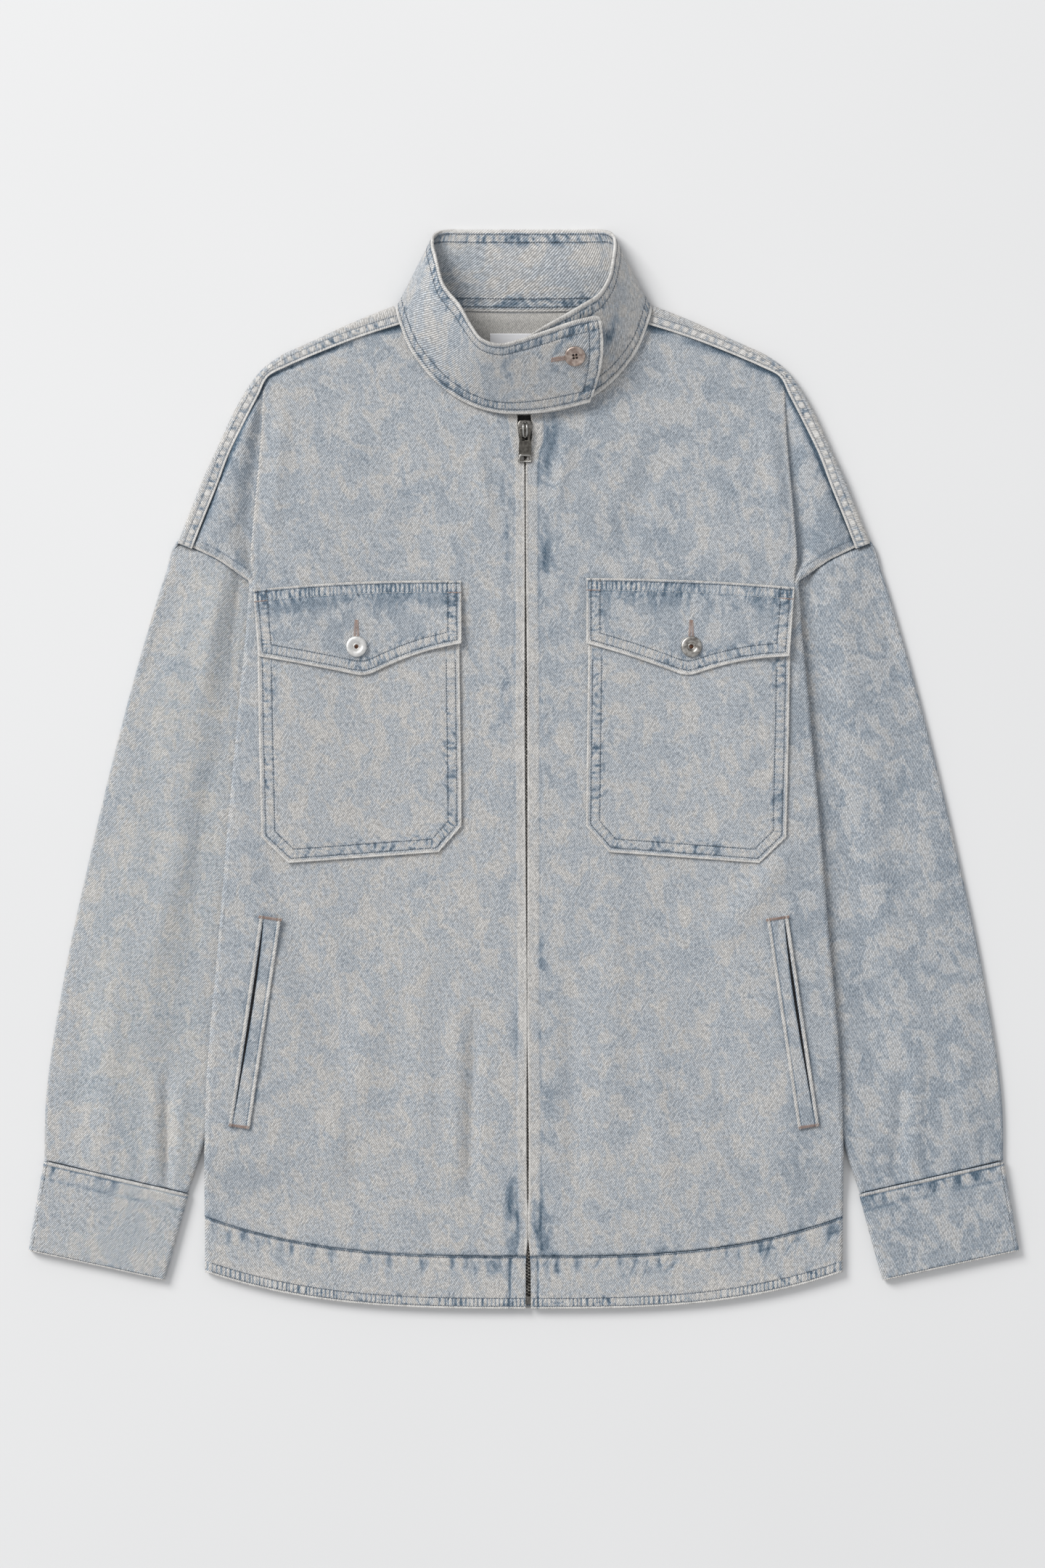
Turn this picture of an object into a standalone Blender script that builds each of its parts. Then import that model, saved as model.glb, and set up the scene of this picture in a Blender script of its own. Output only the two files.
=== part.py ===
"""Denim overshirt with a stand collar and a full zip, laid flat on its back.

+X is to the right of someone who looks down on the front, +Y runs to the
collar and +Z is up. The garment rests on z = 0 and the origin is under the
middle of its box. Sizes below are millimetres, and MM turns them to metres.
"""
import bmesh
import bpy
import numpy as np
from math import cos, pi, radians, sin
from mathutils import Vector

MM = 0.001

# Cloth walls, and the gaps between the layers.
CLOTH = 1.2              # one layer of denim
DOUBLE = 2.0             # a turned or faced piece: hem band, cuff, collar
TAPE = 1.0               # zip tape and neck label
SEAM = 0.3               # gap between two pieces sewn together
SIDE_SEAM = 0.8          # between the rolled edges of the front and the back
LAY = 0.5                # clear height under a piece that lies on a panel
AIR = 3.6                # air between the front and the back

# Heights of the middles of the walls.
FLOOR = CLOTH / 2
FRONT = FLOOR + CLOTH + AIR
BED = 4.3                # how far the sides of the body ride up over the sleeves
OUTER = 5.0              # front panel outside its crease, on the drop shoulder
ROLL = 3.0               # radius of the rolled side edges
BAND = 6.9               # shoulder band, above the edge of the front

# Zip.
ZIP_TOP = 277.5
ZIP_BOTTOM = -420.6
TAPE_IN, TAPE_WIDE = 0.25, 13.0
ZIP_FIT = {"y": (-424.0, -414.0, -362.0, 236.0, 256.0, 280.0),
           "gap": (2.1, 2.1, 1.0, 1.0, 6.3, 6.3)}

# Side edge of the body: half width at each height.
EDGE = {"y": (-425, -354, -297, -244, -183, -137, -100, -45, 9, 54, 90, 113, 148),
        "half": (249.0, 250.3, 250.3, 248.8, 244.0, 239.3, 236.4, 232.0, 227.0,
                 223.0, 219.6, 217.0, 214.9)}

# Hem seam and bottom edge: y at the zip, rise to the side, power of the curve.
HEM_SEAM = (-382.7, 30.7, 3.0)
HEM_EDGE = (-423.9, 28.6, 3.0)

# Neck seam: a superellipse round the front of the neck.
NECK_Y, NECK_HALF, NECK_DEPTH, NECK_POWER = 361.4, 101.0, 84.4, 1.57
BACK_NECK_Y = 357.5

# Armhole seam, from the side edge out to the shoulder edge.
ARM_X, ARM_Y, ARM_END_X, ARM_SLOPE, ARM_BOW = 214.9, 147.0, 270.8, 0.542, 3.5
ARM_DROP = 1.6           # fall of a front to the lower end of its armhole

# Rows of a front above the side seam: points on the zip or neck, on the
# crease and on the outer seam.
FRONT_ROWS = (
    # in_x, in_y, crease_x, crease_y, out_x, out_y
    (0.0, 133.0, 211.9, 146.0, 214.9, 147.0),
    (0.0, 160.0, 213.8, 165.0, 240.0, None),
    (0.0, 190.0, 212.0, 190.0, 262.0, None),
    (0.0, 214.0, 209.8, 215.0, 253.5, 198.5),
    (0.0, 236.0, 207.3, 243.0, 242.5, 228.0),
    (0.0, 256.0, 205.6, 266.0, 233.5, 252.0),
    (8.5, None, 204.9, 281.0, 220.5, 278.0),
    (42.0, None, 204.5, 293.0, 211.5, 296.0),
    (70.0, None, 203.8, 302.0, 207.5, 305.0),
    (86.0, None, 202.6, 307.0, 205.5, 308.0),
    (97.5, None, 200.5, 311.5, 203.5, 310.5),
)
UNDER_BAND = 7.0         # bow that carries the top of a front in under the band

# Rows of the back above the side seam: the middle, below the neck point, above
# the side edge, the shoulder edge, and the seam of the band on the front.
BACK_ROWS = (
    # mid_y, neck_y, side_x, side_y, edge_x, edge_y, seam_x, seam_y
    (133.0, 137.0, 211.9, 146.0, 214.9, 147.0, None, None),
    (158.0, 158.0, 212.5, 162.0, 242.0, None, None, None),
    (182.0, 180.0, 212.0, 182.0, 270.8, 178.3, 259.4, 178.0),
    (210.0, 205.0, 210.0, 206.0, 262.5, 200.0, 251.4, 196.0),
    (238.0, 232.0, 206.0, 232.0, 252.0, 226.5, 240.5, 223.0),
    (266.0, 260.0, 201.0, 256.0, 241.0, 250.5, 231.5, 247.0),
    (296.0, 290.0, 194.0, 280.0, 228.0, 278.7, 218.5, 273.5),
    (326.0, 322.0, 185.0, 303.0, 216.5, 299.0, 208.5, 293.0),
    (BACK_NECK_Y, 361.0, None, None, 205.0, 313.5, 201.0, 307.5),
)
NECK_POINT = (102.0, 363.0)
NECK_SEAM_POINT = (96.5, 349.0)
SHOULDER_BOW = 3.0

# Sleeve: the outer and inner ends of its sections, shoulder to cuff.
SLEEVE_ROWS = (
    # outer_x, outer_y, inner_x, inner_y
    (270.8, 176.3, 197.2, 137.4),
    (279.9, 156.2, 199.5, 119.1),
    (290.1, 124.8, 202.4, 93.5),
    (305.0, 73.5, 206.9, 45.0),
    (318.6, 22.2, 212.0, -3.4),
    (331.2, -29.0, 217.2, -51.9),
    (343.1, -80.4, 222.3, -103.2),
    (354.5, -131.7, 227.4, -154.5),
    (364.2, -183.0, 233.7, -205.8),
    (371.6, -228.6, 241.1, -251.4),
    (375.6, -268.5, 251.9, -295.8),
    (376.2, -307.2, 264.5, -332.9),
)
SLEEVE_HIGH, SLEEVE_LOW = 6.3, 3.6      # outer height, height under the body
ARM_SEAM = 1.0           # from the armhole down to the first edge of the sleeve
CUFF_ROWS = (
    (376.2, -308.4, 264.2, -334.0),
    (380.3, -331.6, 270.2, -356.4),
    (384.4, -355.0, 276.3, -378.7),
    (388.2, -378.5, 282.8, -401.5),
)
CUFF_HIGH = 7.0

# Stand collar: stations along the strip, from its end under the tab round
# the back of the neck to the end of the tab.
COLLAR = (
    # low_x, low_y, low_z, top_x, top_y, top_z
    (6.0, 279.6, 7.8, 3.0, 336.5, 33.0),
    (20.0, 280.0, 7.8, 14.0, 343.5, 35.0),
    (38.0, 284.2, 7.8, 29.0, 351.7, 37.0),
    (56.0, 293.5, 7.8, 44.0, 360.2, 39.0),
    (73.0, 307.8, 7.8, 58.0, 369.5, 38.0),
    (88.0, 327.5, 8.6, 66.3, 384.0, 33.0),
    (96.0, 346.0, 9.4, 69.4, 400.0, 25.0),
    (99.5, 358.0, 9.0, 70.6, 412.5, 15.0),
    (97.5, 362.5, 4.6, 68.5, 420.0, 6.5),
    (86.0, 361.3, 1.6, 61.0, 423.7, 1.6),
    (58.0, 360.0, 1.0, 42.0, 423.7, 1.0),
    (20.0, 359.2, 1.0, 14.0, 423.7, 1.0),
    (-20.0, 359.2, 1.0, -14.0, 423.7, 1.0),
    (-58.0, 360.0, 1.0, -42.0, 423.7, 1.0),
    (-86.0, 361.3, 1.6, -61.0, 423.7, 1.6),
    (-97.5, 362.5, 4.6, -69.0, 420.0, 6.5),
    (-99.5, 358.0, 9.0, -71.0, 412.5, 15.0),
    (-96.0, 346.0, 9.4, -68.0, 398.5, 25.0),
    (-88.0, 327.5, 8.6, -62.0, 377.0, 33.0),
    (-73.0, 307.8, 7.8, -49.5, 360.5, 38.0),
    (-56.0, 293.5, 7.8, -41.5, 346.0, 40.0),
    (-38.0, 284.2, 8.2, -33.0, 334.5, 40.0),
    (-20.0, 279.4, 9.6, -19.5, 330.3, 39.0),
    (-4.0, 278.3, 11.4, -5.0, 333.2, 38.5),
    (14.0, 279.2, 11.9, 18.0, 340.8, 39.5),
    (33.0, 282.7, 11.9, 38.0, 347.6, 41.0),
    (51.3, 287.3, 11.9, 57.5, 352.2, 42.0),
)
COLLAR_COLUMNS = 2       # faces to each station
COLLAR_LINES = 3         # faces from the neck seam to the top
COLLAR_CROWN = 1.2
TAB_BULGE = 4.5          # how far the end of the tab stands out at mid height
TAB_BUTTON = (25.25, 0.6)

# Chest pockets: points at the zip side and at the outer side, top to bottom.
POCKET_ROWS = (
    (50.7, 131.7, 209.3, 128.0),
    (50.4, 86.0, 208.6, 80.0),
    (49.8, 40.0, 207.8, 33.0),
    (49.2, -3.0, 206.8, -11.0),
    (48.8, -45.0, 205.8, -53.6),
    (67.0, -65.5, 184.5, -74.0),
)
FLAP_TOP = ((49.2, 146.4), (212.3, 139.0))
FLAP_LOW = ((48.9, 98.3), (128.8, 72.2), (208.0, 88.0))
FLAP_FOLD = 7.0          # strip of the flap sewn down above the pocket
BUTTON_AT = (131.3, 95.7)

# Hand pocket welt: middle of its top and bottom ends, and its width.
WELT_TOP, WELT_LOW, WELT_WIDE = (198.6, -116.0), (223.3, -281.5), 16.0

LABEL_AT, LABEL_SIZE = (-9.7, 333.0), (34.0, 18.0)

# Slider, bail and pull tab.
SLIDER_AT, SLIDER_SIZE = (0.9, 266.6), (11.6, 13.4, 4.4)
HINGE_Y, HINGE_Z = 266.0, 10.9
PULL_TILT = radians(-7.0)
PULL_WALL = 1.2
BOX_SIZE = (3.4, 5.6, 2.2)

DENIM = (0.42, 0.46, 0.50, 1)
DENIM_BLUE = (0.30, 0.37, 0.45, 1)
METAL = (0.16, 0.15, 0.15, 1)
BRIGHT = (0.62, 0.61, 0.58, 1)
BRONZE = (0.38, 0.31, 0.27, 1)


def smooth(value, low, high):
    """Smooth step from 0 at low to 1 at high."""
    part = min(max((value - low) / (high - low), 0.0), 1.0)
    return part * part * (3 - 2 * part)


def lerp(a, b, part):
    return tuple(p + (q - p) * part for p, q in zip(a, b))


def edge(y):
    """Half width of the body at a height."""
    return float(np.interp(y, EDGE["y"], EDGE["half"]))


def neck(x):
    """Height of the neck seam at a distance from the middle."""
    ratio = min(abs(x) / NECK_HALF, 1.0)
    return NECK_Y - NECK_DEPTH * (1 - ratio ** NECK_POWER) ** (1 / NECK_POWER)


def armhole(x):
    """Height of the armhole seam at a distance from the middle."""
    part = (abs(x) - ARM_X) / (ARM_END_X - ARM_X)
    bow = ARM_BOW * sin(pi * min(max(part, 0.0), 1.0))
    return ARM_Y + ARM_SLOPE * (abs(x) - ARM_X) + bow


def hem(x, curve):
    low, rise, power = curve
    return low + rise * (abs(x) / EDGE["half"][0]) ** power


def zip_x(y):
    """The zip wanders a little to the right on its way down."""
    return 0.8 + 2.6 * (ZIP_TOP - y) / (ZIP_TOP - ZIP_BOTTOM)


def zip_gap(y):
    return float(np.interp(y, ZIP_FIT["y"], ZIP_FIT["gap"]))


def bed(x, y, fade=168.0):
    """Rise of the body over the tucked sleeves, gone again by the height fade."""
    inner = np.interp(-y, [-row[3] for row in SLEEVE_ROWS], [row[2] for row in SLEEVE_ROWS])
    across = smooth(abs(x), 105.0, float(inner) - 12.0)
    return BED * across * smooth(y, -345.0, -300.0) * (1 - smooth(y, 150.0, fade))


def front_z(x, y):
    return FRONT + bed(x, y, 300.0)


def material(name, colour, rough, metal=0.0):
    made = bpy.data.materials.new(name)
    made.use_nodes = True
    shader = made.node_tree.nodes["Principled BSDF"]
    shader.inputs["Base Color"].default_value = colour
    shader.inputs["Roughness"].default_value = rough
    shader.inputs["Metallic"].default_value = metal
    return made


def keep(name, data, colour, rough=0.85, metal=0.0):
    """Object for a mesh or curve, in the garment's collection."""
    made = bpy.data.objects.new(name, data)
    data.materials.append(material(name, colour, rough, metal))
    garment.objects.link(made)
    return made


def grid(bm, across, along, place):
    """Grid whose vertex in column i and row j goes to place(i, j)."""
    made = bmesh.ops.create_grid(bm, x_segments=across, y_segments=along, size=0.5)
    for vert in made["verts"]:
        column = round((vert.co.x + 0.5) * across)
        row = round((vert.co.y + 0.5) * along)
        vert.co = Vector(place(column, row)) * MM


def cloth(name, bm, wall, colour=DENIM):
    """Turns an open surface into a wall of cloth."""
    bmesh.ops.remove_doubles(bm, verts=bm.verts, dist=0.00001)
    bmesh.ops.recalc_face_normals(bm, faces=bm.faces)
    mesh = bpy.data.meshes.new(name)
    bm.to_mesh(mesh)
    bm.free()
    made = keep(name, mesh, colour)
    solid = made.modifiers.new("wall", "SOLIDIFY")
    solid.thickness = wall * MM
    solid.offset = 0
    solid.use_even_offset = True
    return made


def sheet(name, across, along, place, wall, colour=DENIM):
    bm = bmesh.new()
    grid(bm, across, along, place)
    return cloth(name, bm, wall, colour)


# Fronts: the rows below the armhole are level, with a rolled side edge.
LEVELS = np.linspace(-352.0, 108.0, 10)
FRONT_INNER, FRONT_OUTER = 9, 3


def front_row(row):
    """Inner, crease and outer points of a row, as distances from the middle."""
    if row == 0:
        y = hem(EDGE["half"][0], HEM_SEAM)
        return (0.0, HEM_SEAM[0]), (edge(y) - ROLL, y), (edge(y), y)
    if row < len(LEVELS):
        y = float(LEVELS[row])
        return (0.0, y), (edge(y) - ROLL, y), (edge(y), y)
    in_x, in_y, crease_x, crease_y, out_x, out_y = FRONT_ROWS[row - len(LEVELS)]
    in_y = neck(in_x) if in_y is None else in_y
    out_y = armhole(out_x) if out_y is None else out_y
    return (in_x, in_y), (crease_x, crease_y), (out_x, out_y)


def front_point(side, column, row):
    inner, crease, outer = front_row(row)
    level = row < len(LEVELS)
    last = row == len(LEVELS) + len(FRONT_ROWS) - 1
    if column <= FRONT_INNER:
        part = column / FRONT_INNER
        x, y = lerp(inner, crease, part)
        if row == 0:
            y = hem(x, HEM_SEAM)
        if inner[0] < 1.0:
            start = zip_gap(y) + side * zip_x(y)
            x = start + (crease[0] - start) * part
        if last:
            return side * x, y + UNDER_BAND * sin(pi * part), OUTER
        return side * x, y, front_z(x, y)
    part = (column - FRONT_INNER) / FRONT_OUTER
    top = front_z(*crease)
    if level:
        turn = part * pi / 2
        seam = (top + FLOOR + bed(*outer)) / 2 + SIDE_SEAM / 2
        x = crease[0] + ROLL * sin(turn)
        y = hem(x, HEM_SEAM) if row == 0 else crease[1]
        return side * x, y, seam + (top - seam) * cos(turn)
    x, y = lerp(crease, outer, part ** 2 if part < 1 else 1)
    if last:
        top = OUTER
    fall = smooth(part, 0.0, 0.55)
    low = OUTER if row > len(LEVELS) else top - ARM_DROP
    return side * x, y, top + (low - top) * fall


def make_front(name, side):
    rows = len(LEVELS) + len(FRONT_ROWS) - 1
    return sheet(name, FRONT_INNER + FRONT_OUTER, rows,
                 lambda i, j: front_point(side, i, j), CLOTH)


# Back: the same levels, then rows that end on the shoulder edge. The band
# goes on round that edge and comes to rest on the front.
BACK_NECK, BACK_SIDE, BACK_ROLL = 3, 4, 3
BACK_HALF = BACK_NECK + BACK_SIDE + BACK_ROLL


def shoulder_edge(step):
    """Edge and seam points of the band: up the sleeve head, then to the neck."""
    sewn = [row[4:] for row in BACK_ROWS if row[6] is not None]
    if step < len(sewn):
        return sewn[step][:2], sewn[step][2:]
    part = (step - len(sewn) + 1) / (BACK_SIDE + BACK_ROLL)
    tip = sewn[-1]
    bow = SHOULDER_BOW * sin(pi * part)
    out_x, out_y = lerp(tip[:2], NECK_POINT, part)
    in_x, in_y = lerp(tip[2:], NECK_SEAM_POINT, part)
    return (out_x, out_y + bow), (in_x, in_y + bow)


BAND_STEPS = sum(row[6] is not None for row in BACK_ROWS) + BACK_SIDE + BACK_ROLL - 1
BAND_RADIUS = (BAND - FLOOR) / 2


def band_point(side, step, turn):
    """Turns 0 to 6 go round the edge, and 7 and 8 lie across to the seam."""
    (out_x, out_y), (in_x, in_y) = shoulder_edge(step)
    away = Vector((out_x - in_x, out_y - in_y)).normalized()
    centre = Vector((out_x, out_y)) - away * BAND_RADIUS
    if turn <= 6:
        angle = -pi / 2 + pi * turn / 6
        spot = centre + away * BAND_RADIUS * cos(angle)
        z = (FLOOR + BAND) / 2 + BAND_RADIUS * sin(angle)
        return side * spot.x, spot.y, z
    spot = centre.lerp(Vector((in_x, in_y)), (turn - 6) / 2)
    return side * spot.x, spot.y, BAND


def back_point(column, row):
    side = -1 if column < BACK_HALF else 1
    place = abs(column - BACK_HALF)
    above = row - len(LEVELS)
    if above == len(BACK_ROWS) - 1 and place >= BACK_NECK:
        return band_point(side, BAND_STEPS - (place - BACK_NECK), 0)
    if above < 0:
        y = hem(EDGE["half"][0], HEM_SEAM) if row == 0 else float(LEVELS[row])
        middle, crease, end = (0.0, y), (edge(y) - ROLL, y), (edge(y), y)
        knot = lerp(middle, crease, BACK_NECK / (BACK_NECK + BACK_SIDE))
    else:
        mid_y, neck_y, side_x, side_y, edge_x, edge_y, seam_x, _ = BACK_ROWS[above]
        middle, knot, crease = (0.0, mid_y), (100.0, neck_y), (side_x, side_y)
        end = edge_x, armhole(edge_x) if edge_y is None else edge_y
        if seam_x is not None:
            step = above - sum(other[6] is None for other in BACK_ROWS)
            end = band_point(1, step, 0)[:2]
    if above == len(BACK_ROWS) - 1:
        knot = band_point(1, BAND_STEPS, 0)[:2]
    if place <= BACK_NECK:
        x, y = lerp(middle, knot, place / BACK_NECK)
    elif place <= BACK_NECK + BACK_SIDE:
        x, y = lerp(knot, crease, (place - BACK_NECK) / BACK_SIDE)
    else:
        x, y = lerp(crease, end, (place - BACK_NECK - BACK_SIDE) / BACK_ROLL)
    z = FLOOR + (bed(x, y) if above <= 0 else 0.0)
    if above <= 0 and place > BACK_NECK + BACK_SIDE:
        turn = (place - BACK_NECK - BACK_SIDE) / BACK_ROLL * pi / 2
        low = FLOOR + bed(*end)
        seam = (front_z(*crease) + low) / 2 - SIDE_SEAM / 2
        x = crease[0] + ROLL * sin(turn)
        z = seam - (seam - low) * cos(turn)
    return side * x, hem(x, HEM_SEAM) if row == 0 else y, z


def make_back():
    bm = bmesh.new()
    grid(bm, 2 * BACK_HALF, len(LEVELS) + len(BACK_ROWS) - 1, back_point)
    for side in (-1, 1):
        grid(bm, BAND_STEPS, 8, lambda i, j: band_point(side, i, j))
    return cloth("back", bm, CLOTH)


# Sleeves and cuffs: flattened tubes, flat underneath.
RING_TOP, RING_ROLL = 6, 3


def ring_point(column):
    """Stretch of a flat tube's wall that a column is on, and how far along it."""
    if column <= RING_TOP:
        return "top", column / RING_TOP
    column -= RING_TOP
    if column <= RING_ROLL:
        return "inner", column / RING_ROLL
    column -= RING_ROLL
    if column <= RING_TOP:
        return "under", 1 - column / RING_TOP
    return "outer", (column - RING_TOP) / RING_ROLL


def tube_point(side, rows, wall, height, column, row, first=None):
    outer, inner = Vector(rows[row][:2]), Vector(rows[row][2:])
    along = (inner - outer).normalized()
    where, part = ring_point(column)
    ends = {"top": part, "under": part, "inner": 1.0, "outer": 0.0}
    tall = height(ends[where]) - wall
    radius = tall / 2
    left, right = outer + along * radius, inner - along * radius
    spot = left.lerp(right, ends[where])
    z = wall / 2
    if where == "top":
        z += tall
    if where == "inner":
        spot += along * radius * sin(pi * part)
        z += radius + radius * cos(pi * part)
    if where == "outer":
        spot -= along * radius * sin(pi * part)
        z += radius - radius * cos(pi * part)
    y = spot.y
    if first and row == 0:
        y = first(spot.x)
    return side * spot.x, y, z


def make_tube(name, side, rows, wall, height, first=None):
    around = 2 * (RING_TOP + RING_ROLL)
    return sheet(name, around, len(rows) - 1,
                 lambda i, j: tube_point(side, rows, wall, height, i, j, first), wall)


def sleeve_height(part):
    return SLEEVE_HIGH - (SLEEVE_HIGH - SLEEVE_LOW) * smooth(part, 0.45, 0.80)


def make_sleeves():
    for name, side in (("left", -1), ("right", 1)):
        make_tube("sleeve_" + name, side, SLEEVE_ROWS, CLOTH, sleeve_height,
                  lambda x: armhole(x) - ARM_SEAM)
        make_tube("cuff_" + name, side, CUFF_ROWS, DOUBLE, lambda part: CUFF_HIGH)


# Hem band: two front halves and one back, below the hem seam.
HEM_DROP = 3


def hem_point(side, front, column, row):
    columns = FRONT_INNER + FRONT_OUTER
    flat = edge(-395.0) - ROLL
    part = row / HEM_DROP
    low = DOUBLE / 2
    top = FRONT + (DOUBLE - CLOTH) / 2
    level = top if front else low
    seam = (top + low) / 2 + (SIDE_SEAM / 2 if front else -SIDE_SEAM / 2)
    z = level
    if column <= FRONT_INNER:
        x = flat * column / FRONT_INNER
    else:
        turn = (column - FRONT_INNER) / FRONT_OUTER * pi / 2
        x = flat + ROLL * sin(turn)
        z = seam + (level - seam) * cos(turn)
    upper = hem(x, HEM_SEAM) - 2 * SEAM
    y = upper + (hem(x, HEM_EDGE) - upper) * part
    if front and column <= FRONT_INNER:
        start = zip_gap(y) + side * zip_x(y)
        x = start + (flat - start) * column / FRONT_INNER
    return side * x, y, z


def make_hems():
    columns = FRONT_INNER + FRONT_OUTER
    for name, side in (("left", -1), ("right", 1)):
        sheet("hem_front_" + name, columns, HEM_DROP,
              lambda i, j: hem_point(side, True, i, j), DOUBLE)

    def whole(column, row):
        side = -1 if column < columns else 1
        return hem_point(side, False, abs(column - columns), row)
    sheet("hem_back", 2 * columns, HEM_DROP, whole, DOUBLE)


def spline(table, value):
    """Smooth curve through the rows of a table, value counted in rows."""
    index = min(int(value), len(table) - 2)
    part = value - index
    near = [np.array(table[min(max(index + step, 0), len(table) - 1)]) for step in (-1, 0, 1, 2)]
    before, here, after, later = near
    return 0.5 * (2 * here + (after - before) * part
                  + (2 * before - 5 * here + 4 * after - later) * part ** 2
                  + (3 * here - before - 3 * after + later) * part ** 3)


def collar_point(station, part):
    """Middle of the collar's wall, part of the way from the neck seam to the top."""
    ends = spline(COLLAR, station)
    x, y, z = ends[:3] + (ends[3:] - ends[:3]) * part
    crown = sin(pi * part)
    end = smooth(station, len(COLLAR) - 3, len(COLLAR) - 1)
    return Vector((x + TAB_BULGE * end * crown, y, z + COLLAR_CROWN * crown))


def make_collar():
    columns = (len(COLLAR) - 1) * COLLAR_COLUMNS
    sheet("collar", columns, COLLAR_LINES,
          lambda i, j: collar_point(i / COLLAR_COLUMNS, j / COLLAR_LINES), DOUBLE)


def make_pockets():
    lift = CLOTH / 2 + LAY + CLOTH / 2
    over = lift + CLOTH + LAY
    steps = len(POCKET_ROWS) - 1

    def pocket(side, column, row):
        inner, outer = POCKET_ROWS[steps - row][:2], POCKET_ROWS[steps - row][2:]
        x, y = lerp(inner, outer, column / 8)
        return side * x, y, front_z(x, y) + lift

    def flap(side, column, row):
        part = column / 8
        half = min(int(part * 2), 1)
        low = lerp(FLAP_LOW[half], FLAP_LOW[half + 1], part * 2 - half)
        high = lerp(*FLAP_TOP, part)
        fold = high[0], high[1] - FLAP_FOLD
        if row == 4:
            x, y = high
        elif row == 3:
            x, y = fold
        else:
            x, y = lerp(low, (fold[0], fold[1] - FLAP_FOLD), row / 2)
        return side * x, y, front_z(x, y) + (over if row < 3 else lift + 0.7 * (row == 3))

    for name, side in (("left", -1), ("right", 1)):
        sheet("pocket_" + name, 8, steps, lambda i, j: pocket(side, i, j), CLOTH)
        sheet("flap_" + name, 8, 4, lambda i, j: flap(side, i, j), CLOTH, DENIM_BLUE)


def make_welts():
    lift = CLOTH / 2 + LAY + CLOTH / 2
    for name, side in (("left", -1), ("right", 1)):
        def place(column, row):
            x, y = lerp(WELT_LOW, WELT_TOP, row / 6)
            x += WELT_WIDE * (column / 3 - 0.5)
            return side * x, y, front_z(x, y) + lift
        sheet("welt_" + name, 3, 6, place, CLOTH)


def make_zip():
    level = FRONT - CLOTH / 2 - SEAM - TAPE / 2
    for name, side in (("left", -1), ("right", 1)):
        def place(column, row):
            y = ZIP_BOTTOM + (ZIP_TOP - ZIP_BOTTOM) * row / 10
            return zip_x(y) + side * (TAPE_IN + TAPE_WIDE * column), y, level
        sheet("zip_tape_" + name, 1, 10, place, TAPE, METAL)
    seat = level + TAPE / 2 + SEAM
    block("zip_box", (zip_x(-417.0), -417.0, seat + BOX_SIZE[2] / 2), BOX_SIZE, 0.4)
    block("zip_slider", (*SLIDER_AT, seat + SLIDER_SIZE[2] / 2), SLIDER_SIZE, 1.2)
    bail(seat + SLIDER_SIZE[2] + SEAM)
    pull()


def block(name, centre, size, bevel):
    """Small metal block with rounded edges."""
    bm = bmesh.new()
    bmesh.ops.create_cube(bm, size=1.0)
    for vert in bm.verts:
        vert.co = (Vector(centre) + Vector(size) * vert.co) * MM
    mesh = bpy.data.meshes.new(name)
    bm.to_mesh(mesh)
    bm.free()
    made = keep(name, mesh, METAL, 0.35, 1.0)
    edges = made.modifiers.new("edges", "BEVEL")
    edges.width = bevel * MM
    edges.segments = 2


def outline(curve, points):
    """Closed straight-sided outline in a flat curve."""
    made = curve.splines.new("POLY")
    made.points.add(len(points) - 1)
    for point, (x, y) in zip(made.points, points):
        point.co = (x * MM, y * MM, 0, 1)
    made.use_cyclic_u = True


def flat_curve(name, thick):
    curve = bpy.data.curves.new(name, "CURVE")
    curve.dimensions = "2D"
    curve.fill_mode = "BOTH"
    curve.extrude = thick * MM / 2
    return curve


def bail(z):
    """Arch over the slider that the pull tab hangs on."""
    curve = flat_curve("zip_bail", 2.2)
    outline(curve, ((-6.2, 0), (-4.8, 0), (-4.6, 2.5), (4.6, 2.5), (4.8, 0), (6.2, 0),
                    (5.8, 3.0), (4.9, 3.6), (-4.9, 3.6), (-5.8, 3.0)))
    made = keep("zip_bail", curve, METAL, 0.35, 1.0)
    made.location = SLIDER_AT[0] * MM, (HINGE_Y - 0.2) * MM, z * MM
    made.rotation_euler = radians(90), 0, radians(90)


def pull():
    """Pull tab: a loop round the bail, then a plate with a window."""
    curve = flat_curve("zip_pull", PULL_WALL)
    half, neck_half = 4.4, 3.3
    outline(curve, ((-neck_half, 0.7), (neck_half, 0.7), (neck_half, -9.0), (half, -10.5),
                    (half, -26.0), (-half, -26.0), (-half, -10.5), (-neck_half, -9.0)))
    outline(curve, ((-2.0, -0.7), (2.0, -0.7), (2.0, -9.5), (-2.0, -9.5)))
    outline(curve, ((-2.9, -20.8), (2.9, -20.8), (2.9, -24.2), (-2.9, -24.2)))
    made = keep("zip_pull", curve, METAL, 0.35, 1.0)
    made.location = SLIDER_AT[0] * MM, HINGE_Y * MM, HINGE_Z * MM
    made.rotation_euler.x = -PULL_TILT


def button(name, place, out, colour):
    """Riveted button, a turned rim round a small centre."""
    profile = ((0, 0), (6.6, 0), (7.9, 0.6), (8.3, 1.5), (7.5, 2.4), (6.2, 2.7), (4.8, 2.3),
               (3.9, 1.4), (2.7, 1.2), (2.0, 1.8), (0, 1.9))
    mesh = bpy.data.meshes.new(name)
    points = [(r * MM, 0, h * MM) for r, h in profile]
    mesh.from_pydata(points, [(i, i + 1) for i in range(len(points) - 1)], [])
    made = keep(name, mesh, colour, 0.35, 1.0)
    turn = made.modifiers.new("turned", "SCREW")
    turn.steps = turn.render_steps = 20
    turn.use_merge_vertices = True
    turn.merge_threshold = 0.00001
    turn.use_normal_calculate = True
    made.location = place * MM
    made.rotation_euler = out.to_track_quat("Z", "Y").to_euler()


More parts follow.
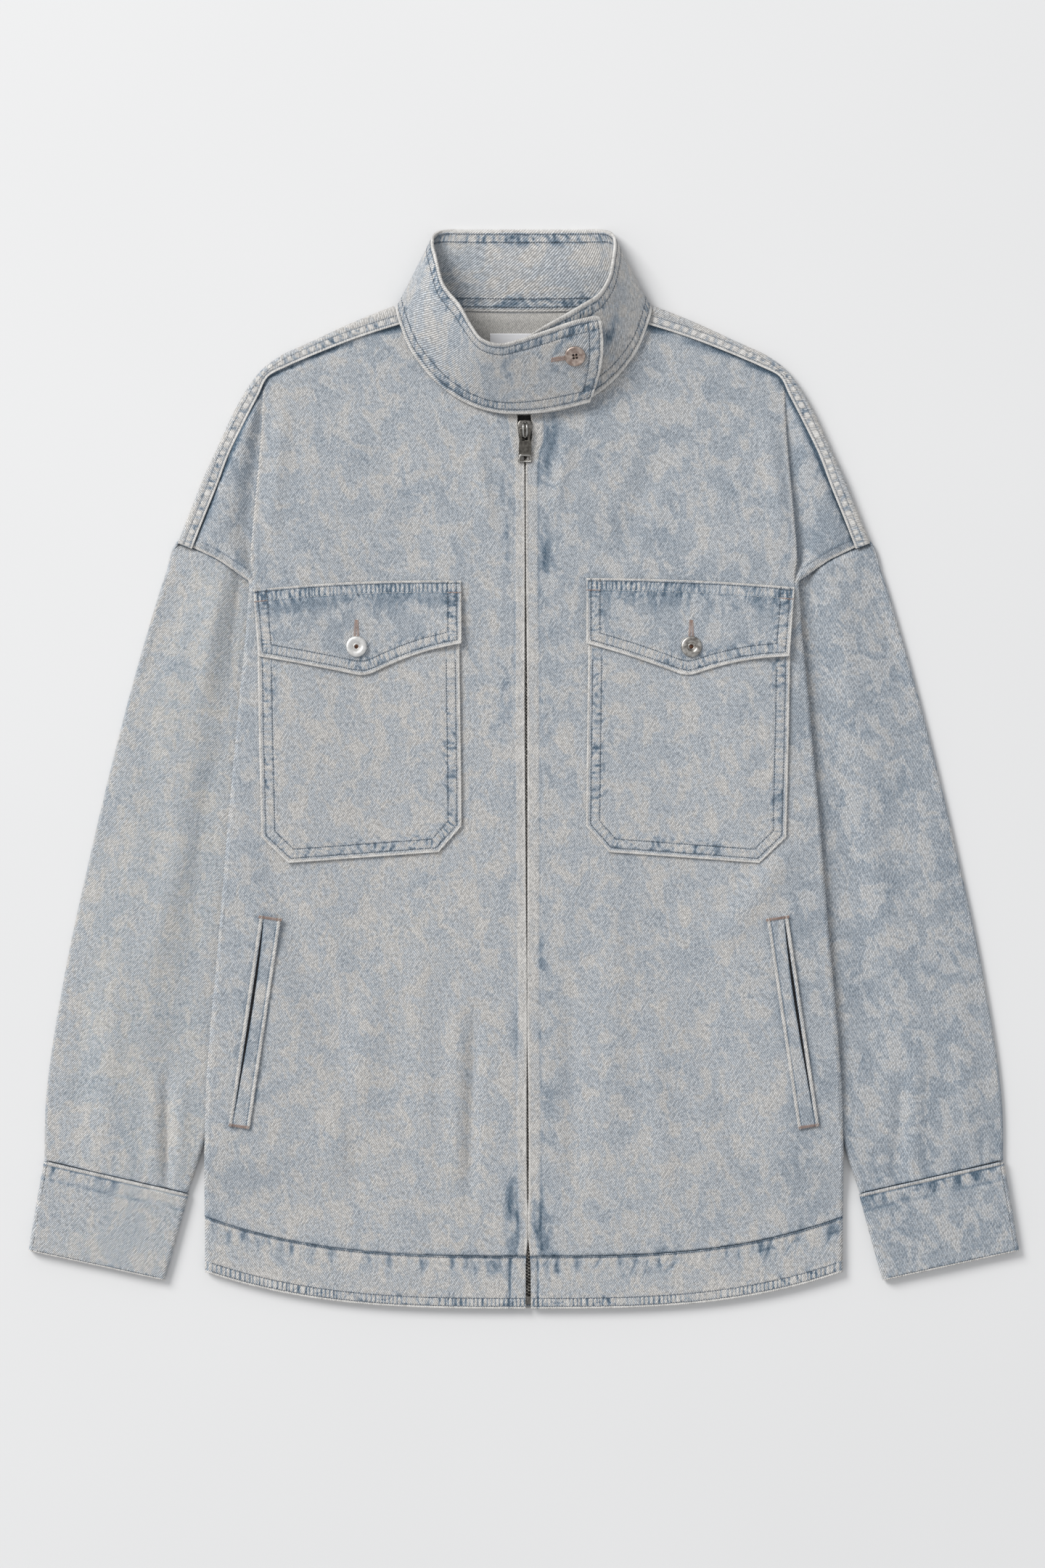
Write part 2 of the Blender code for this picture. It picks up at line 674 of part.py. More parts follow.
def make_buttons():
    x, y = BUTTON_AT
    top = front_z(x, y) + CLOTH * 2.5 + LAY * 2 + 2 * SEAM
    button("button_left", Vector((-x, y, top)), Vector((0, 0, 1)), BRIGHT)
    button("button_right", Vector((x, y, top)), Vector((0, 0, 1)), BRIGHT)
    station, part = TAB_BUTTON
    seat = collar_point(station, part)
    along = collar_point(station + 0.1, part) - seat
    up = collar_point(station, part + 0.1) - seat
    out = along.cross(up).normalized()
    button("button_collar", seat + out * (DOUBLE / 2 + LAY), out, BRONZE)


def make_label():
    width, length = LABEL_SIZE

    def place(column, row):
        x = LABEL_AT[0] + width * (column - 0.5)
        return x, LABEL_AT[1] + length * (row - 0.5), FLOOR + CLOTH / 2 + SEAM + TAPE / 2
    sheet("neck_label", 1, 1, place, TAPE, (0.75, 0.75, 0.75, 1))


for old in list(bpy.data.objects):
    bpy.data.objects.remove(old, do_unlink=True)
garment = bpy.data.collections.new("overshirt")
bpy.context.scene.collection.children.link(garment)

make_back()
make_front("front_left", -1)
make_front("front_right", 1)
make_sleeves()
make_hems()
make_collar()
make_pockets()
make_welts()
make_zip()
make_buttons()
make_label()
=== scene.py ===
from math import cos, pi, radians, sin, tan

import bmesh
import bpy
import numpy as np
from mathutils import Matrix, Vector


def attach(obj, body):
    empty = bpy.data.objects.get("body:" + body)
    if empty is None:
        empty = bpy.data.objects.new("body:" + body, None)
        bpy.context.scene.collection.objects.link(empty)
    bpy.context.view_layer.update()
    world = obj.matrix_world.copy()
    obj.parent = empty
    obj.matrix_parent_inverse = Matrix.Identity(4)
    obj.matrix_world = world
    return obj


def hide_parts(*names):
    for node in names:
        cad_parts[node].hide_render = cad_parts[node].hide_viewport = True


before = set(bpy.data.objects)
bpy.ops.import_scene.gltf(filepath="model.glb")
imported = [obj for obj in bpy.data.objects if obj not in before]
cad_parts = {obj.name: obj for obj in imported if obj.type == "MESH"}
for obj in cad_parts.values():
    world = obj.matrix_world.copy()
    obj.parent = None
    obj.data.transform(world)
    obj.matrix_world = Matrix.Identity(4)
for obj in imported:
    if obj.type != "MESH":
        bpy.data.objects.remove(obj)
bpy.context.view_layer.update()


# ---------------------------------------------------------------------------
# Stage. The garment lies on a pale floor under a large soft light from the
# upper left, and the camera looks straight down from well above it.
MM = 0.001
VIEW_TALL = 1.2312
VIEW_MIDDLE = (-0.0011, -0.0120)
CAMERA_UP = 3.2
CLOTH_LEVEL = 0.005

camera_data = bpy.data.cameras.new("camera")
camera_data.sensor_fit = "VERTICAL"
camera_data.sensor_height = 24.0
camera_data.lens = camera_data.sensor_height * (CAMERA_UP - CLOTH_LEVEL) / VIEW_TALL
camera = bpy.data.objects.new("camera", camera_data)
camera.location = (*VIEW_MIDDLE, CAMERA_UP)
bpy.context.collection.objects.link(camera)
bpy.context.scene.camera = camera
bpy.context.scene.view_settings.view_transform = "Standard"

LIGHT_FROM = Vector((-0.62, 0.52, 0.62)).normalized()
LIGHT_AWAY = 10.0
LIGHT_HALF_ANGLE = radians(14)
LIGHT_STRENGTH = 2.42
SKY_COLOUR, SKY_STRENGTH = (0.97, 0.98, 1.0, 1), 0.575
key_data = bpy.data.lights.new("key_light", "AREA")
key_data.shape = "DISK"
key_data.size = 2 * LIGHT_AWAY * tan(LIGHT_HALF_ANGLE)
key_data.energy = LIGHT_STRENGTH * pi * LIGHT_AWAY ** 2
key_data.color = (1.0, 0.995, 0.985)
key = bpy.data.objects.new("key_light", key_data)
key.location = LIGHT_FROM * LIGHT_AWAY
key.rotation_euler = LIGHT_FROM.to_track_quat("Z", "Y").to_euler()
bpy.context.collection.objects.link(key)
world = bpy.data.worlds.new("studio")
world.use_nodes = True
world.node_tree.nodes["Background"].inputs["Color"].default_value = SKY_COLOUR
world.node_tree.nodes["Background"].inputs["Strength"].default_value = SKY_STRENGTH
bpy.context.scene.world = world


def node(tree, kind, inputs=(), **settings):
    """New shader node; an input takes either a value or another node's output."""
    made = tree.nodes.new("ShaderNode" + kind)
    for key, value in settings.items():
        setattr(made, key, value)
    for key, value in dict(inputs).items():
        if isinstance(value, bpy.types.NodeSocket):
            tree.links.new(value, made.inputs[key])
        else:
            made.inputs[key].default_value = value
    return made


def blank_material(name, rough, metal=0.0, specular=0.5):
    """Material with a bare Principled shader, and its tree and shader."""
    made = bpy.data.materials.new(name)
    made.use_nodes = True
    shader = made.node_tree.nodes["Principled BSDF"]
    shader.inputs["Roughness"].default_value = rough
    shader.inputs["Metallic"].default_value = metal
    shader.inputs["Specular IOR Level"].default_value = specular
    return made, made.node_tree, shader


FLOOR_HALF, FLOOR_DROP = 4.0, 0.0003
floor_material, tree, shader = blank_material("pale_floor", 0.9, specular=0.1)
floor_noise = node(tree, "TexNoise", {"Scale": 3.0, "Detail": 2.0,
                                      "Vector": node(tree, "TexCoord").outputs["Object"]})
floor_tone = node(tree, "ValToRGB", {"Fac": floor_noise.outputs["Fac"]})
floor_tone.color_ramp.elements[0].color = (0.80, 0.80, 0.80, 1)
floor_tone.color_ramp.elements[1].color = (0.83, 0.83, 0.83, 1)
tree.links.new(floor_tone.outputs["Color"], shader.inputs["Base Color"])
bm = bmesh.new()
bmesh.ops.create_grid(bm, x_segments=2, y_segments=2, size=FLOOR_HALF)
bmesh.ops.translate(bm, verts=bm.verts, vec=(0, 0, -FLOOR_DROP))
floor_mesh = bpy.data.meshes.new("floor")
bm.to_mesh(floor_mesh)
bm.free()
floor = bpy.data.objects.new("floor", floor_mesh)
floor_mesh.materials.append(floor_material)
bpy.context.collection.objects.link(floor)


# ---------------------------------------------------------------------------
# Fronts. Each is one panel of washed denim, folded back at the zip and sewn
# into the hem, side, armhole, shoulder and neck seams. The shoulder drops, so
# a soft crease runs down from the shoulder tip along the tucked sleeve.
CLOTH = 1.2
DOUBLE = 2.0
FLOOR = CLOTH / 2
AIR = 3.6
FRONT = FLOOR + CLOTH + AIR
BED = 4.3
ARM_FADE, SHOULDER_FADE = 168.0, 300.0
OUTER, VALLEY, CROWN = 5.0, 3.4, {-1: 8.8, 1: 7.4}
ARM_EDGE, TUCK = 1.3, 2.4
ROLL = 3.0
SIDE_SEAM = 0.8
LAY = 0.5
COMB = 3.4
ARM_ROW = 7.5

EDGE_Y = (-425, -354, -297, -244, -183, -137, -100, -45, 9, 54, 90, 113, 148)
EDGE_HALF = (249.0, 250.3, 250.3, 248.8, 244.0, 239.3, 236.4, 232.0, 227.0,
             223.0, 219.6, 217.0, 214.9)
HEM_SEAM = (-382.7, 30.7, 3.0)
HEM_EDGE = (-423.9, 28.6, 3.0)
NECK_Y, NECK_HALF, NECK_DEPTH, NECK_POWER = 361.4, 101.0, 84.4, 1.57
ARM_X, ARM_Y, ARM_END_X, ARM_SLOPE, ARM_BOW = 214.9, 147.0, 270.8, 0.542, 3.5
ZIP_TOP, ZIP_BOTTOM = 277.5, -420.6
ZIP_GAP = np.array((
    # y, then the distance from the zip's middle to the left and to the right edge
    (-424.0, 1.9, 2.1),
    (-390.0, 1.8, 2.0),
    (-378.0, 1.1, 1.2),
    (-368.0, 0.1, 0.1),
    (-348.0, 0.0, 0.0),
    (-336.0, 0.5, 0.55),
    (-300.0, 0.85, 0.9),
    (-251.0, 0.65, 0.7),
    (-213.0, 0.1, 0.1),
    (-160.0, 0.05, 0.1),
    (-120.0, 0.45, 0.5),
    (-20.0, 0.85, 0.9),
    (56.0, 0.95, 1.0),
    (148.0, 0.45, 0.5),
    (215.0, 0.35, 0.45),
    (237.0, 0.45, 0.5),
    (249.0, 1.6, 2.0),
    (254.0, 3.4, 4.4),
    (258.0, 4.4, 5.3),
    (268.0, 5.3, 5.5),
    (273.0, 5.9, 5.2),
    (280.0, 5.9, 3.8),
))
ZIP_NECK, NECK_TUCK = 5.2, 3.5
LEVELS = np.linspace(-352.0, 108.0, 10)
FRONT_ROWS = np.array((
    # in_x, in_y, crease_x, crease_y, out_x, out_y
    (0.0, 133.0, 211.9, 146.0, 214.9, 147.0),
    (0.0, 160.0, 213.8, 165.0, 240.0, 164.0),
    (0.0, 190.0, 212.0, 190.0, 262.0, 174.5),
    (0.0, 214.0, 209.8, 215.0, 253.5, 198.5),
    (0.0, 236.0, 207.3, 243.0, 242.5, 228.0),
    (0.0, 256.0, 205.6, 266.0, 233.5, 252.0),
    (5.2, 281.0, 204.9, 281.0, 220.5, 278.0),
    (42.0, 284.5, 204.5, 293.0, 211.5, 296.0),
    (70.0, 303.0, 203.8, 302.0, 207.5, 305.0),
    (86.0, 321.5, 202.6, 307.0, 205.5, 308.0),
    (97.5, 344.0, 200.5, 311.5, 203.5, 310.5),
))
SLEEVE_ROWS = np.array((
    # outer_x, outer_y, inner_x, inner_y
    (270.8, 176.3, 197.2, 137.4),
    (279.9, 156.2, 199.5, 119.1),
    (290.1, 124.8, 202.4, 93.5),
    (305.0, 73.5, 206.9, 45.0),
    (318.6, 22.2, 212.0, -3.4),
    (331.2, -29.0, 217.2, -51.9),
    (343.1, -80.4, 222.3, -103.2),
    (354.5, -131.7, 227.4, -154.5),
    (364.2, -183.0, 233.7, -205.8),
    (371.6, -228.6, 241.1, -251.4),
    (375.6, -268.5, 251.9, -295.8),
    (376.2, -307.2, 264.5, -332.9),
))


def smooth(value, low, high):
    """Smooth step from 0 at low to 1 at high."""
    part = np.clip((value - low) / (high - low), 0.0, 1.0)
    return part * part * (3 - 2 * part)


def bump(value, middle, wide):
    """Soft bump of height 1."""
    return np.exp(-((value - middle) / wide) ** 2)


def straight(table, value):
    """Straight lines through the rows of a table, value counted in rows."""
    places = np.arange(len(table))
    return np.stack([np.interp(value, places, column) for column in np.transpose(table)], -1)


def curved(table, value):
    """Smooth curve through the rows of a table, value counted in rows."""
    table = np.asarray(table, float)
    index = np.clip(np.floor(value).astype(int), 0, len(table) - 2)
    part = (value - index)[..., None]
    before, here, after, later = (
        table[np.clip(index + step, 0, len(table) - 1)] for step in (-1, 0, 1, 2))
    return 0.5 * (2 * here + (after - before) * part
                  + (2 * before - 5 * here + 4 * after - later) * part ** 2
                  + (3 * here - before - 3 * after + later) * part ** 3)


def ripple(x, y, seed):
    """Uneven waves between -1 and 1, one to each unit of x and of y."""
    heights = np.random.default_rng(seed).uniform(-1, 1, (256, 64))
    column, row = np.floor(x).astype(int), np.floor(y).astype(int)
    across, along = smooth(x - column, 0, 1), smooth(y - row, 0, 1)
    near, far = (heights[column % 256, line % 64] * (1 - across)
                 + heights[(column + 1) % 256, line % 64] * across for line in (row, row + 1))
    return near * (1 - along) + far * along


def stations(length, coarse, fine, bands):
    """Places along a length, close together in the bands and wider apart between them."""
    spots = [0.0]
    while spots[-1] < length:
        away = min(max(low - spots[-1], spots[-1] - high, 0) for low, high in bands)
        spots.append(spots[-1] + min(coarse, fine + 0.2 * away))
    return np.array(spots) * length / spots[-1]


def sewn(away, along, rows, seed, puff=0.3, reach=9.0, pitch=4.5, fold=0.95, roll=0.8, comb=0.0):
    """Relief, wear and blue of an edge held down by rows of stitches.

    away is the distance from the folded edge. Narrow creases cross the rows and
    fade out past them, and a finer comb of them stands between twin rows. The
    cloth stays blue in the creases and under the thread, and is bleached on the
    puckers and on the fold.
    """
    wave = ripple((along + 0.3 * away) / pitch, away / 9.0 + seed, seed)
    crease = bump(wave, 0.0, 0.58 / pitch)
    crease = crease * smooth(ripple(along / 31.0, away * 0, seed + 1), -0.75, 0.15)
    near = smooth(away, rows[0] - 1.6, rows[0] + 0.8) * (1 - smooth(away, rows[-1], rows[-1] + reach))
    rim = bump(away, roll * 0.6, roll)
    lines = sum(bump(away, row, 0.7) for row in rows)
    turns = along / COMB + 0.6 * ripple(along / 9.0, along * 0, seed + 2)
    teeth = smooth(np.sin(2 * pi * turns), -0.9, 0.3)
    between = comb * smooth(away, rows[0], rows[0] + 1.0)
    between = between * (1 - smooth(away, rows[-1] - 1.0, rows[-1] + 0.4))
    between = between * (0.3 + 0.7 * smooth(ripple(along / 27.0, along * 0, seed + 3), -0.8, 0.1))
    height = 0.30 * rim - 0.24 * lines + puff * (0.35 - crease) * near + 0.3 * (teeth - 0.5) * between
    wear_and_painted_light = fold * rim + 0.16 * near * (1 - crease) + 0.35 * teeth * between
    indigo_and_painted_shade = 0.55 * lines + 0.62 * crease * near + 1.1 * (1 - teeth) * between
    return height, wear_and_painted_light, indigo_and_painted_shade


def folds(table, x, y):
    """Soft ridges and troughs, each along a straight run that fades out at its ends."""
    total = np.zeros_like(x)
    for from_x, from_y, to_x, to_y, wide, height in table:
        run = np.hypot(to_x - from_x, to_y - from_y)
        along = ((x - from_x) * (to_x - from_x) + (y - from_y) * (to_y - from_y)) / run ** 2
        off = ((x - from_x) * (to_y - from_y) - (y - from_y) * (to_x - from_x)) / run
        total += height * bump(off, 0, wide) * smooth(along, -0.1, 0.3) * (1 - smooth(along, 0.7, 1.1))
    return total


def from_outline(outline, x, y):
    """Distance to the nearest side of an open outline, and how far along it that is."""
    nearest, along, run = np.full(x.shape, 1e9), np.zeros(x.shape), 0.0
    for (from_x, from_y), (to_x, to_y) in zip(outline[:-1], outline[1:]):
        long = np.hypot(to_x - from_x, to_y - from_y)
        part = ((x - from_x) * (to_x - from_x) + (y - from_y) * (to_y - from_y)) / long ** 2
        part = np.clip(part, 0, 1)
        gap = np.hypot(x - from_x - (to_x - from_x) * part, y - from_y - (to_y - from_y) * part)
        closer = gap < nearest
        nearest, along = np.where(closer, gap, nearest), np.where(closer, run + part * long, along)
        run += long
    return nearest, along


def edge(y):
    """Half width of the body."""
    return np.interp(y, EDGE_Y, EDGE_HALF)


def neck(x):
    ratio = np.minimum(np.abs(x) / NECK_HALF, 1.0)
    return NECK_Y - NECK_DEPTH * (1 - ratio ** NECK_POWER) ** (1 / NECK_POWER)


def armhole(x):
    part = (np.abs(x) - ARM_X) / (ARM_END_X - ARM_X)
    return ARM_Y + ARM_SLOPE * (np.abs(x) - ARM_X) + ARM_BOW * np.sin(pi * np.clip(part, 0, 1))


def hem(x, curve):
    low, rise, power = curve
    return low + rise * (np.abs(x) / EDGE_HALF[0]) ** power


def zip_x(y):
    return 0.8 + 2.6 * (ZIP_TOP - y) / (ZIP_TOP - ZIP_BOTTOM)


def zip_edge(side, y):
    """Distance from the middle of the garment to a front's folded edge."""
    return np.interp(y, ZIP_GAP[:, 0], ZIP_GAP[:, 1 if side < 0 else 2]) + side * zip_x(y)


def bed(x, y, fade=ARM_FADE):
    """Rise of the body over the tucked sleeves."""
    inner = np.interp(-y, -SLEEVE_ROWS[:, 3], SLEEVE_ROWS[:, 2])
    across = smooth(np.abs(x), 105.0, inner - 12.0)
    return BED * across * smooth(y, -345.0, -300.0) * (1 - smooth(y, 150.0, fade))


def front_z(x, y):
    """Height of the fronts' middle."""
    return FRONT + bed(x, y, SHOULDER_FADE)


SIDE_NAMES = {-1: "left", 1: "right"}


def cloth_mesh(name, columns, rows, place, flip=False, seam=False):
    """Mesh of a panel: place gives each vertex's point, flat place, wear and blue; the wear and the blue
    also carry painted light and shade.

    Each panel has a flat place of its own on the cloth, so no two are marbled alike.
    """
    bm = bmesh.new()
    across, along = len(columns) - 1, len(rows) - 1
    bmesh.ops.create_grid(bm, x_segments=across, y_segments=along, size=0.5)
    mesh = bpy.data.meshes.new(name)
    bm.to_mesh(mesh)
    bm.free()
    spots = np.empty(len(mesh.vertices) * 3)
    mesh.vertices.foreach_get("co", spots)
    spots = spots.reshape(-1, 3) + 0.5
    column = columns[np.rint(spots[:, 0] * across).astype(int)]
    row = rows[np.rint(spots[:, 1] * along).astype(int)]
    points, flat, wear_and_painted_light, indigo_and_painted_shade = place(column, row)
    mesh.vertices.foreach_set("co", (points * MM).ravel())
    for key, values in (("wear_and_painted_light", wear_and_painted_light), ("indigo_and_painted_shade", indigo_and_painted_shade)):
        values = np.broadcast_to(values, column.shape).astype(np.float32)
        mesh.attributes.new(key, "FLOAT", "POINT").data.foreach_set("value", values)
    corners = np.empty(len(mesh.loops), int)
    mesh.loops.foreach_get("vertex_index", corners)
    layer = mesh.uv_layers.new(name="cloth")
    layer.data.foreach_set("uv", (flat * MM)[corners].ravel())
    if seam:
        bm = bmesh.new()
        bm.from_mesh(mesh)
        bmesh.ops.remove_doubles(bm, verts=bm.verts, dist=0.00002)
        bm.to_mesh(mesh)
        bm.free()
    mesh.polygons.foreach_set("use_smooth", [True] * len(mesh.polygons))
    if flip:
        mesh.flip_normals()
    return mesh


def joined(name, parts):
    """One mesh of several."""
    bm = bmesh.new()
    for part in parts:
        bm.from_mesh(part)
    mesh = bpy.data.meshes.new(name)
    bm.to_mesh(mesh)
    bm.free()
    return mesh


def add_piece(name, mesh, materials, node_name=None, body="garment", wall=0.0):
    """Object for a mesh, with its materials, body and CAD node; cloth gets a wall."""
    for finish in materials:
        mesh.materials.append(finish)
    piece = bpy.data.objects.new(name, mesh)
    bpy.context.collection.objects.link(piece)
    if wall:
        solid = piece.modifiers.new("wall", "SOLIDIFY")
        solid.thickness = wall * MM
        solid.offset = 0
        solid.material_offset = len(materials) - 1
    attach(piece, body)
    if node_name:
        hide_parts(node_name)
    return piece


def wall_of_cloth(mesh, wall, materials, node_name, under=(), flat=None, area=None):
    """Object for a panel, with its thickness and its CAD node; its sheet facts under, flat and area are
    not used.
    """
    piece = add_piece("cloth_" + node_name, mesh, materials, node_name, wall=wall)


def sided_cloth(kind, side, columns, rows, cloth, wall, materials, flip=-1, seam=False, **facts):
    """Panel of one side: -1 is the left in the view, 1 the right."""
    name = kind + SIDE_NAMES[side]
    mesh = cloth_mesh(name, columns, rows, lambda i, j: cloth(side, i, j), flip == side, seam)
    wall_of_cloth(mesh, wall, materials, name, **facts)


TWILL_LEAN = radians(58.5)
TWILL_PITCH = 0.00123
GRAIN = 0.24
WEFT_SHOW = 1.7
YARN_RELIEF = 0.00012


def denim_nodes(tree, hand):
    """Cloth coordinates, yarn noise and the twill's pale weft floats, from 0 to 1."""
    flat = node(tree, "UVMap", uv_map="cloth").outputs["UV"]
    yarn = node(tree, "TexNoise", {"Vector": flat, "Scale": 520.0, "Detail": 2.0}).outputs["Fac"]
    lean = (hand * cos(TWILL_LEAN), sin(TWILL_LEAN), 0)
    over = (hand * sin(TWILL_LEAN), -cos(TWILL_LEAN), 0)
    across = node(tree, "VectorMath", {0: flat, 1: over}, operation="DOT_PRODUCT").outputs["Value"]
    along = node(tree, "VectorMath", {0: flat, 1: lean}, operation="DOT_PRODUCT").outputs["Value"]
    phase = node(tree, "Math", {0: across, 1: 2 * pi / TWILL_PITCH}, operation="MULTIPLY").outputs[0]
    bent = node(tree, "Math", {0: yarn, 1: 1.6, 2: phase}, operation="MULTIPLY_ADD").outputs[0]
    wave = node(tree, "Math", {0: bent}, operation="SINE").outputs[0]
    short = node(tree, "Math", {0: along, 1: 0.45}, operation="MULTIPLY").outputs[0]
    spot = node(tree, "CombineXYZ", {"X": across, "Y": short}).outputs[0]
    dashes = node(tree, "TexNoise", {"Vector": spot, "Scale": 780.0, "Detail": 1.0}).outputs["Fac"]
    ridge = node(tree, "MapRange", {"Value": wave, 1: -0.8, 2: 1.0, 3: 0.0, 4: 1.0}).outputs[0]
    broken = node(tree, "MapRange", {"Value": dashes, 1: 0.30, 2: 0.70, 3: 0.12, 4: 0.88}).outputs[0]
    lines = node(tree, "Math", {0: ridge, 1: broken}, operation="MULTIPLY").outputs[0]
    grain = node(tree, "TexNoise", {"Vector": flat, "Scale": 1400.0, "Detail": 0.0}).outputs["Fac"]
    salt = node(tree, "MapRange", {"Value": grain, 1: 0.36, 2: 0.68, 3: 0.0, 4: 0.7}).outputs[0]
    floats = node(tree, "Mix", {0: GRAIN, 2: lines, 3: salt}).outputs[0]
    return flat, yarn, wave, floats


def ramp(tree, value, stops):
    """Colour ramp through (place, colour) stops."""
    made = node(tree, "ValToRGB", {"Fac": value})
    elements = made.color_ramp.elements
    elements[0].position, elements[0].color = stops[0][0], (*stops[0][1], 1)
    elements[1].position, elements[1].color = stops[-1][0], (*stops[-1][1], 1)
    for place, colour in stops[1:-1]:
        elements.new(place).color = (*colour, 1)
    return made.outputs["Color"]


def cloth_bump(tree, shader, height, deep):
    """Fine relief of a surface, deep metres from its low to its high."""
    rise = node(tree, "Bump", {"Height": height, "Strength": 0.6, "Distance": deep})
    tree.links.new(rise.outputs["Normal"], shader.inputs["Normal"])


def denim_finish(name, hand, weave, sheen):
    """Denim shader: weave(tree, flat) gives the colours of the warp and of the weft."""
    made, tree, shader = blank_material(name, 0.88, specular=0.18)
    shader.inputs["Sheen Weight"].default_value = sheen
    shader.inputs["Sheen Roughness"].default_value = 0.5
    flat, yarn, wave, floats = denim_nodes(tree, hand)
    warp, weft = weave(tree, flat)
    show = node(tree, "Math", {0: floats, 1: WEFT_SHOW}, operation="MULTIPLY", use_clamp=True).outputs[0]
    mixed = node(tree, "Mix", {0: show, 6: warp, 7: weft}, data_type="RGBA").outputs[2]
    tree.links.new(mixed, shader.inputs["Base Color"])
    height = node(tree, "Math", {0: yarn, 1: 0.8, 2: wave}, operation="MULTIPLY_ADD").outputs[0]
    cloth_bump(tree, shader, height, YARN_RELIEF)
    return made


def washed(tree, flat):
    """Indigo warp over white weft, bleached in soft leaning patches and along seams."""
    leaning = node(tree, "Mapping", {"Vector": flat, "Rotation": (0, 0, radians(15)),
                                     "Scale": (1.0, 1.45, 1.0)}, vector_type="TEXTURE").outputs["Vector"]
    tides = node(tree, "TexNoise", {"Vector": flat, "Scale": 30.0, "Detail": 3.0}).outputs["Fac"]
    clouds = node(tree, "TexNoise", {"Vector": leaning, "Scale": 84.0, "Detail": 3.0, "Roughness": 0.6,
                                     "Distortion": 0.5}).outputs["Fac"]
    spots = node(tree, "TexVoronoi", {"Vector": leaning, "Scale": 58.0}).outputs["Distance"]
    spots = node(tree, "Math", {0: spots, 1: -0.16, 2: clouds}, operation="MULTIPLY_ADD").outputs[0]
    cream = node(tree, "MapRange", {"Value": spots, 1: 0.38, 2: 0.52, 3: 0.0, 4: 0.15},
                 interpolation_type="SMOOTHSTEP").outputs[0]
    specks = node(tree, "TexNoise", {"Vector": leaning, "Scale": 380.0, "Detail": 2.0}).outputs["Fac"]
    # The panels' wear and blue also carry painted light and shade on some of them.
    wear_and_painted_light = node(tree, "Attribute", attribute_name="wear_and_painted_light").outputs["Fac"]
    indigo_and_painted_shade = node(tree, "Attribute", attribute_name="indigo_and_painted_shade").outputs["Fac"]
    uneven = node(tree, "MapRange", {"Value": specks, 1: 0.3, 2: 0.7, 3: 0.55, 4: 1.45}).outputs[0]
    blue = node(tree, "Math", {0: indigo_and_painted_shade, 1: uneven}, operation="MULTIPLY").outputs[0]
    wash = cream
    for value, weight in ((tides, 0.26), (specks, 0.34), (wear_and_painted_light, 0.42), (blue, -0.42)):
        wash = node(tree, "Math", {0: value, 1: weight, 2: wash}, operation="MULTIPLY_ADD").outputs[0]
    wash = node(tree, "Math", {0: wash, 1: 0.122}, operation="ADD").outputs[0]
    warp = ramp(tree, wash, (
        (0.02, (0.034, 0.060, 0.092)),
        (0.24, (0.110, 0.140, 0.176)),
        (0.40, (0.198, 0.214, 0.232)),
        (0.60, (0.262, 0.254, 0.244)),
        (0.95, (0.590, 0.575, 0.550)),
    ))
    weft = ramp(tree, wash, (
        (0.02, (0.185, 0.255, 0.325)),
        (0.24, (0.425, 0.490, 0.558)),
        (0.40, (0.715, 0.750, 0.786)),
        (0.60, (0.860, 0.836, 0.802)),
        (0.95, (0.870, 0.855, 0.830)),
    ))
    return warp, weft


def unwashed(tree, flat):
    """Inner face of the cloth, where the undyed weft shows."""
    patches = node(tree, "TexNoise", {"Vector": flat, "Scale": 30.0, "Detail": 3.0}).outputs["Fac"]
    warp = ramp(tree, patches, ((0.3, (0.27, 0.265, 0.26)), (0.7, (0.34, 0.33, 0.31))))
    weft = ramp(tree, patches, ((0.3, (0.58, 0.56, 0.53)), (0.7, (0.68, 0.655, 0.615))))
    return warp, weft


DENIM = denim_finish("washed_denim", 1, washed, 0.12)
INSIDE_DENIM = denim_finish("washed_denim_inside", -1, washed, 0.12)
REVERSE = denim_finish("denim_reverse", 1, unwashed, 0.05)

PLACKET = {-1: 7.2, 1: 9.2}
FRONT_FOLDS = {
    # from_x, from_y, to_x, to_y, half width, height
    -1: ((39.0, -190.0, 43.0, -345.0, 5.0, -1.5), (52.0, -170.0, 55.0, -340.0, 8.0, 0.9),
         (84.0, -120.0, 78.0, -330.0, 12.0, 0.7), (188.0, 290.0, 200.0, 175.0, 7.0, 1.0),
         (120.0, 262.0, 66.0, 150.0, 14.0, -0.8), (204.0, -60.0, 150.0, -230.0, 13.0, -1.0),
         (110.0, -150.0, 152.0, -330.0, 15.0, 0.9), (150.0, -180.0, 128.0, -345.0, 9.0, -0.8),
         (40.0, 262.0, 26.0, 190.0, 6.0, 0.8)),
    1: ((36.0, -160.0, 40.0, -345.0, 8.0, -1.0), (70.0, -90.0, 66.0, -300.0, 13.0, 0.9),
        (190.0, 280.0, 204.0, 175.0, 7.0, 1.0), (110.0, 265.0, 74.0, 160.0, 13.0, -0.8),
        (212.0, -60.0, 150.0, -140.0, 11.0, 1.0), (130.0, -180.0, 186.0, -345.0, 14.0, -0.9),
        (100.0, -200.0, 112.0, -345.0, 9.0, 0.8), (36.0, 268.0, 24.0, 200.0, 5.0, 0.8)),
}
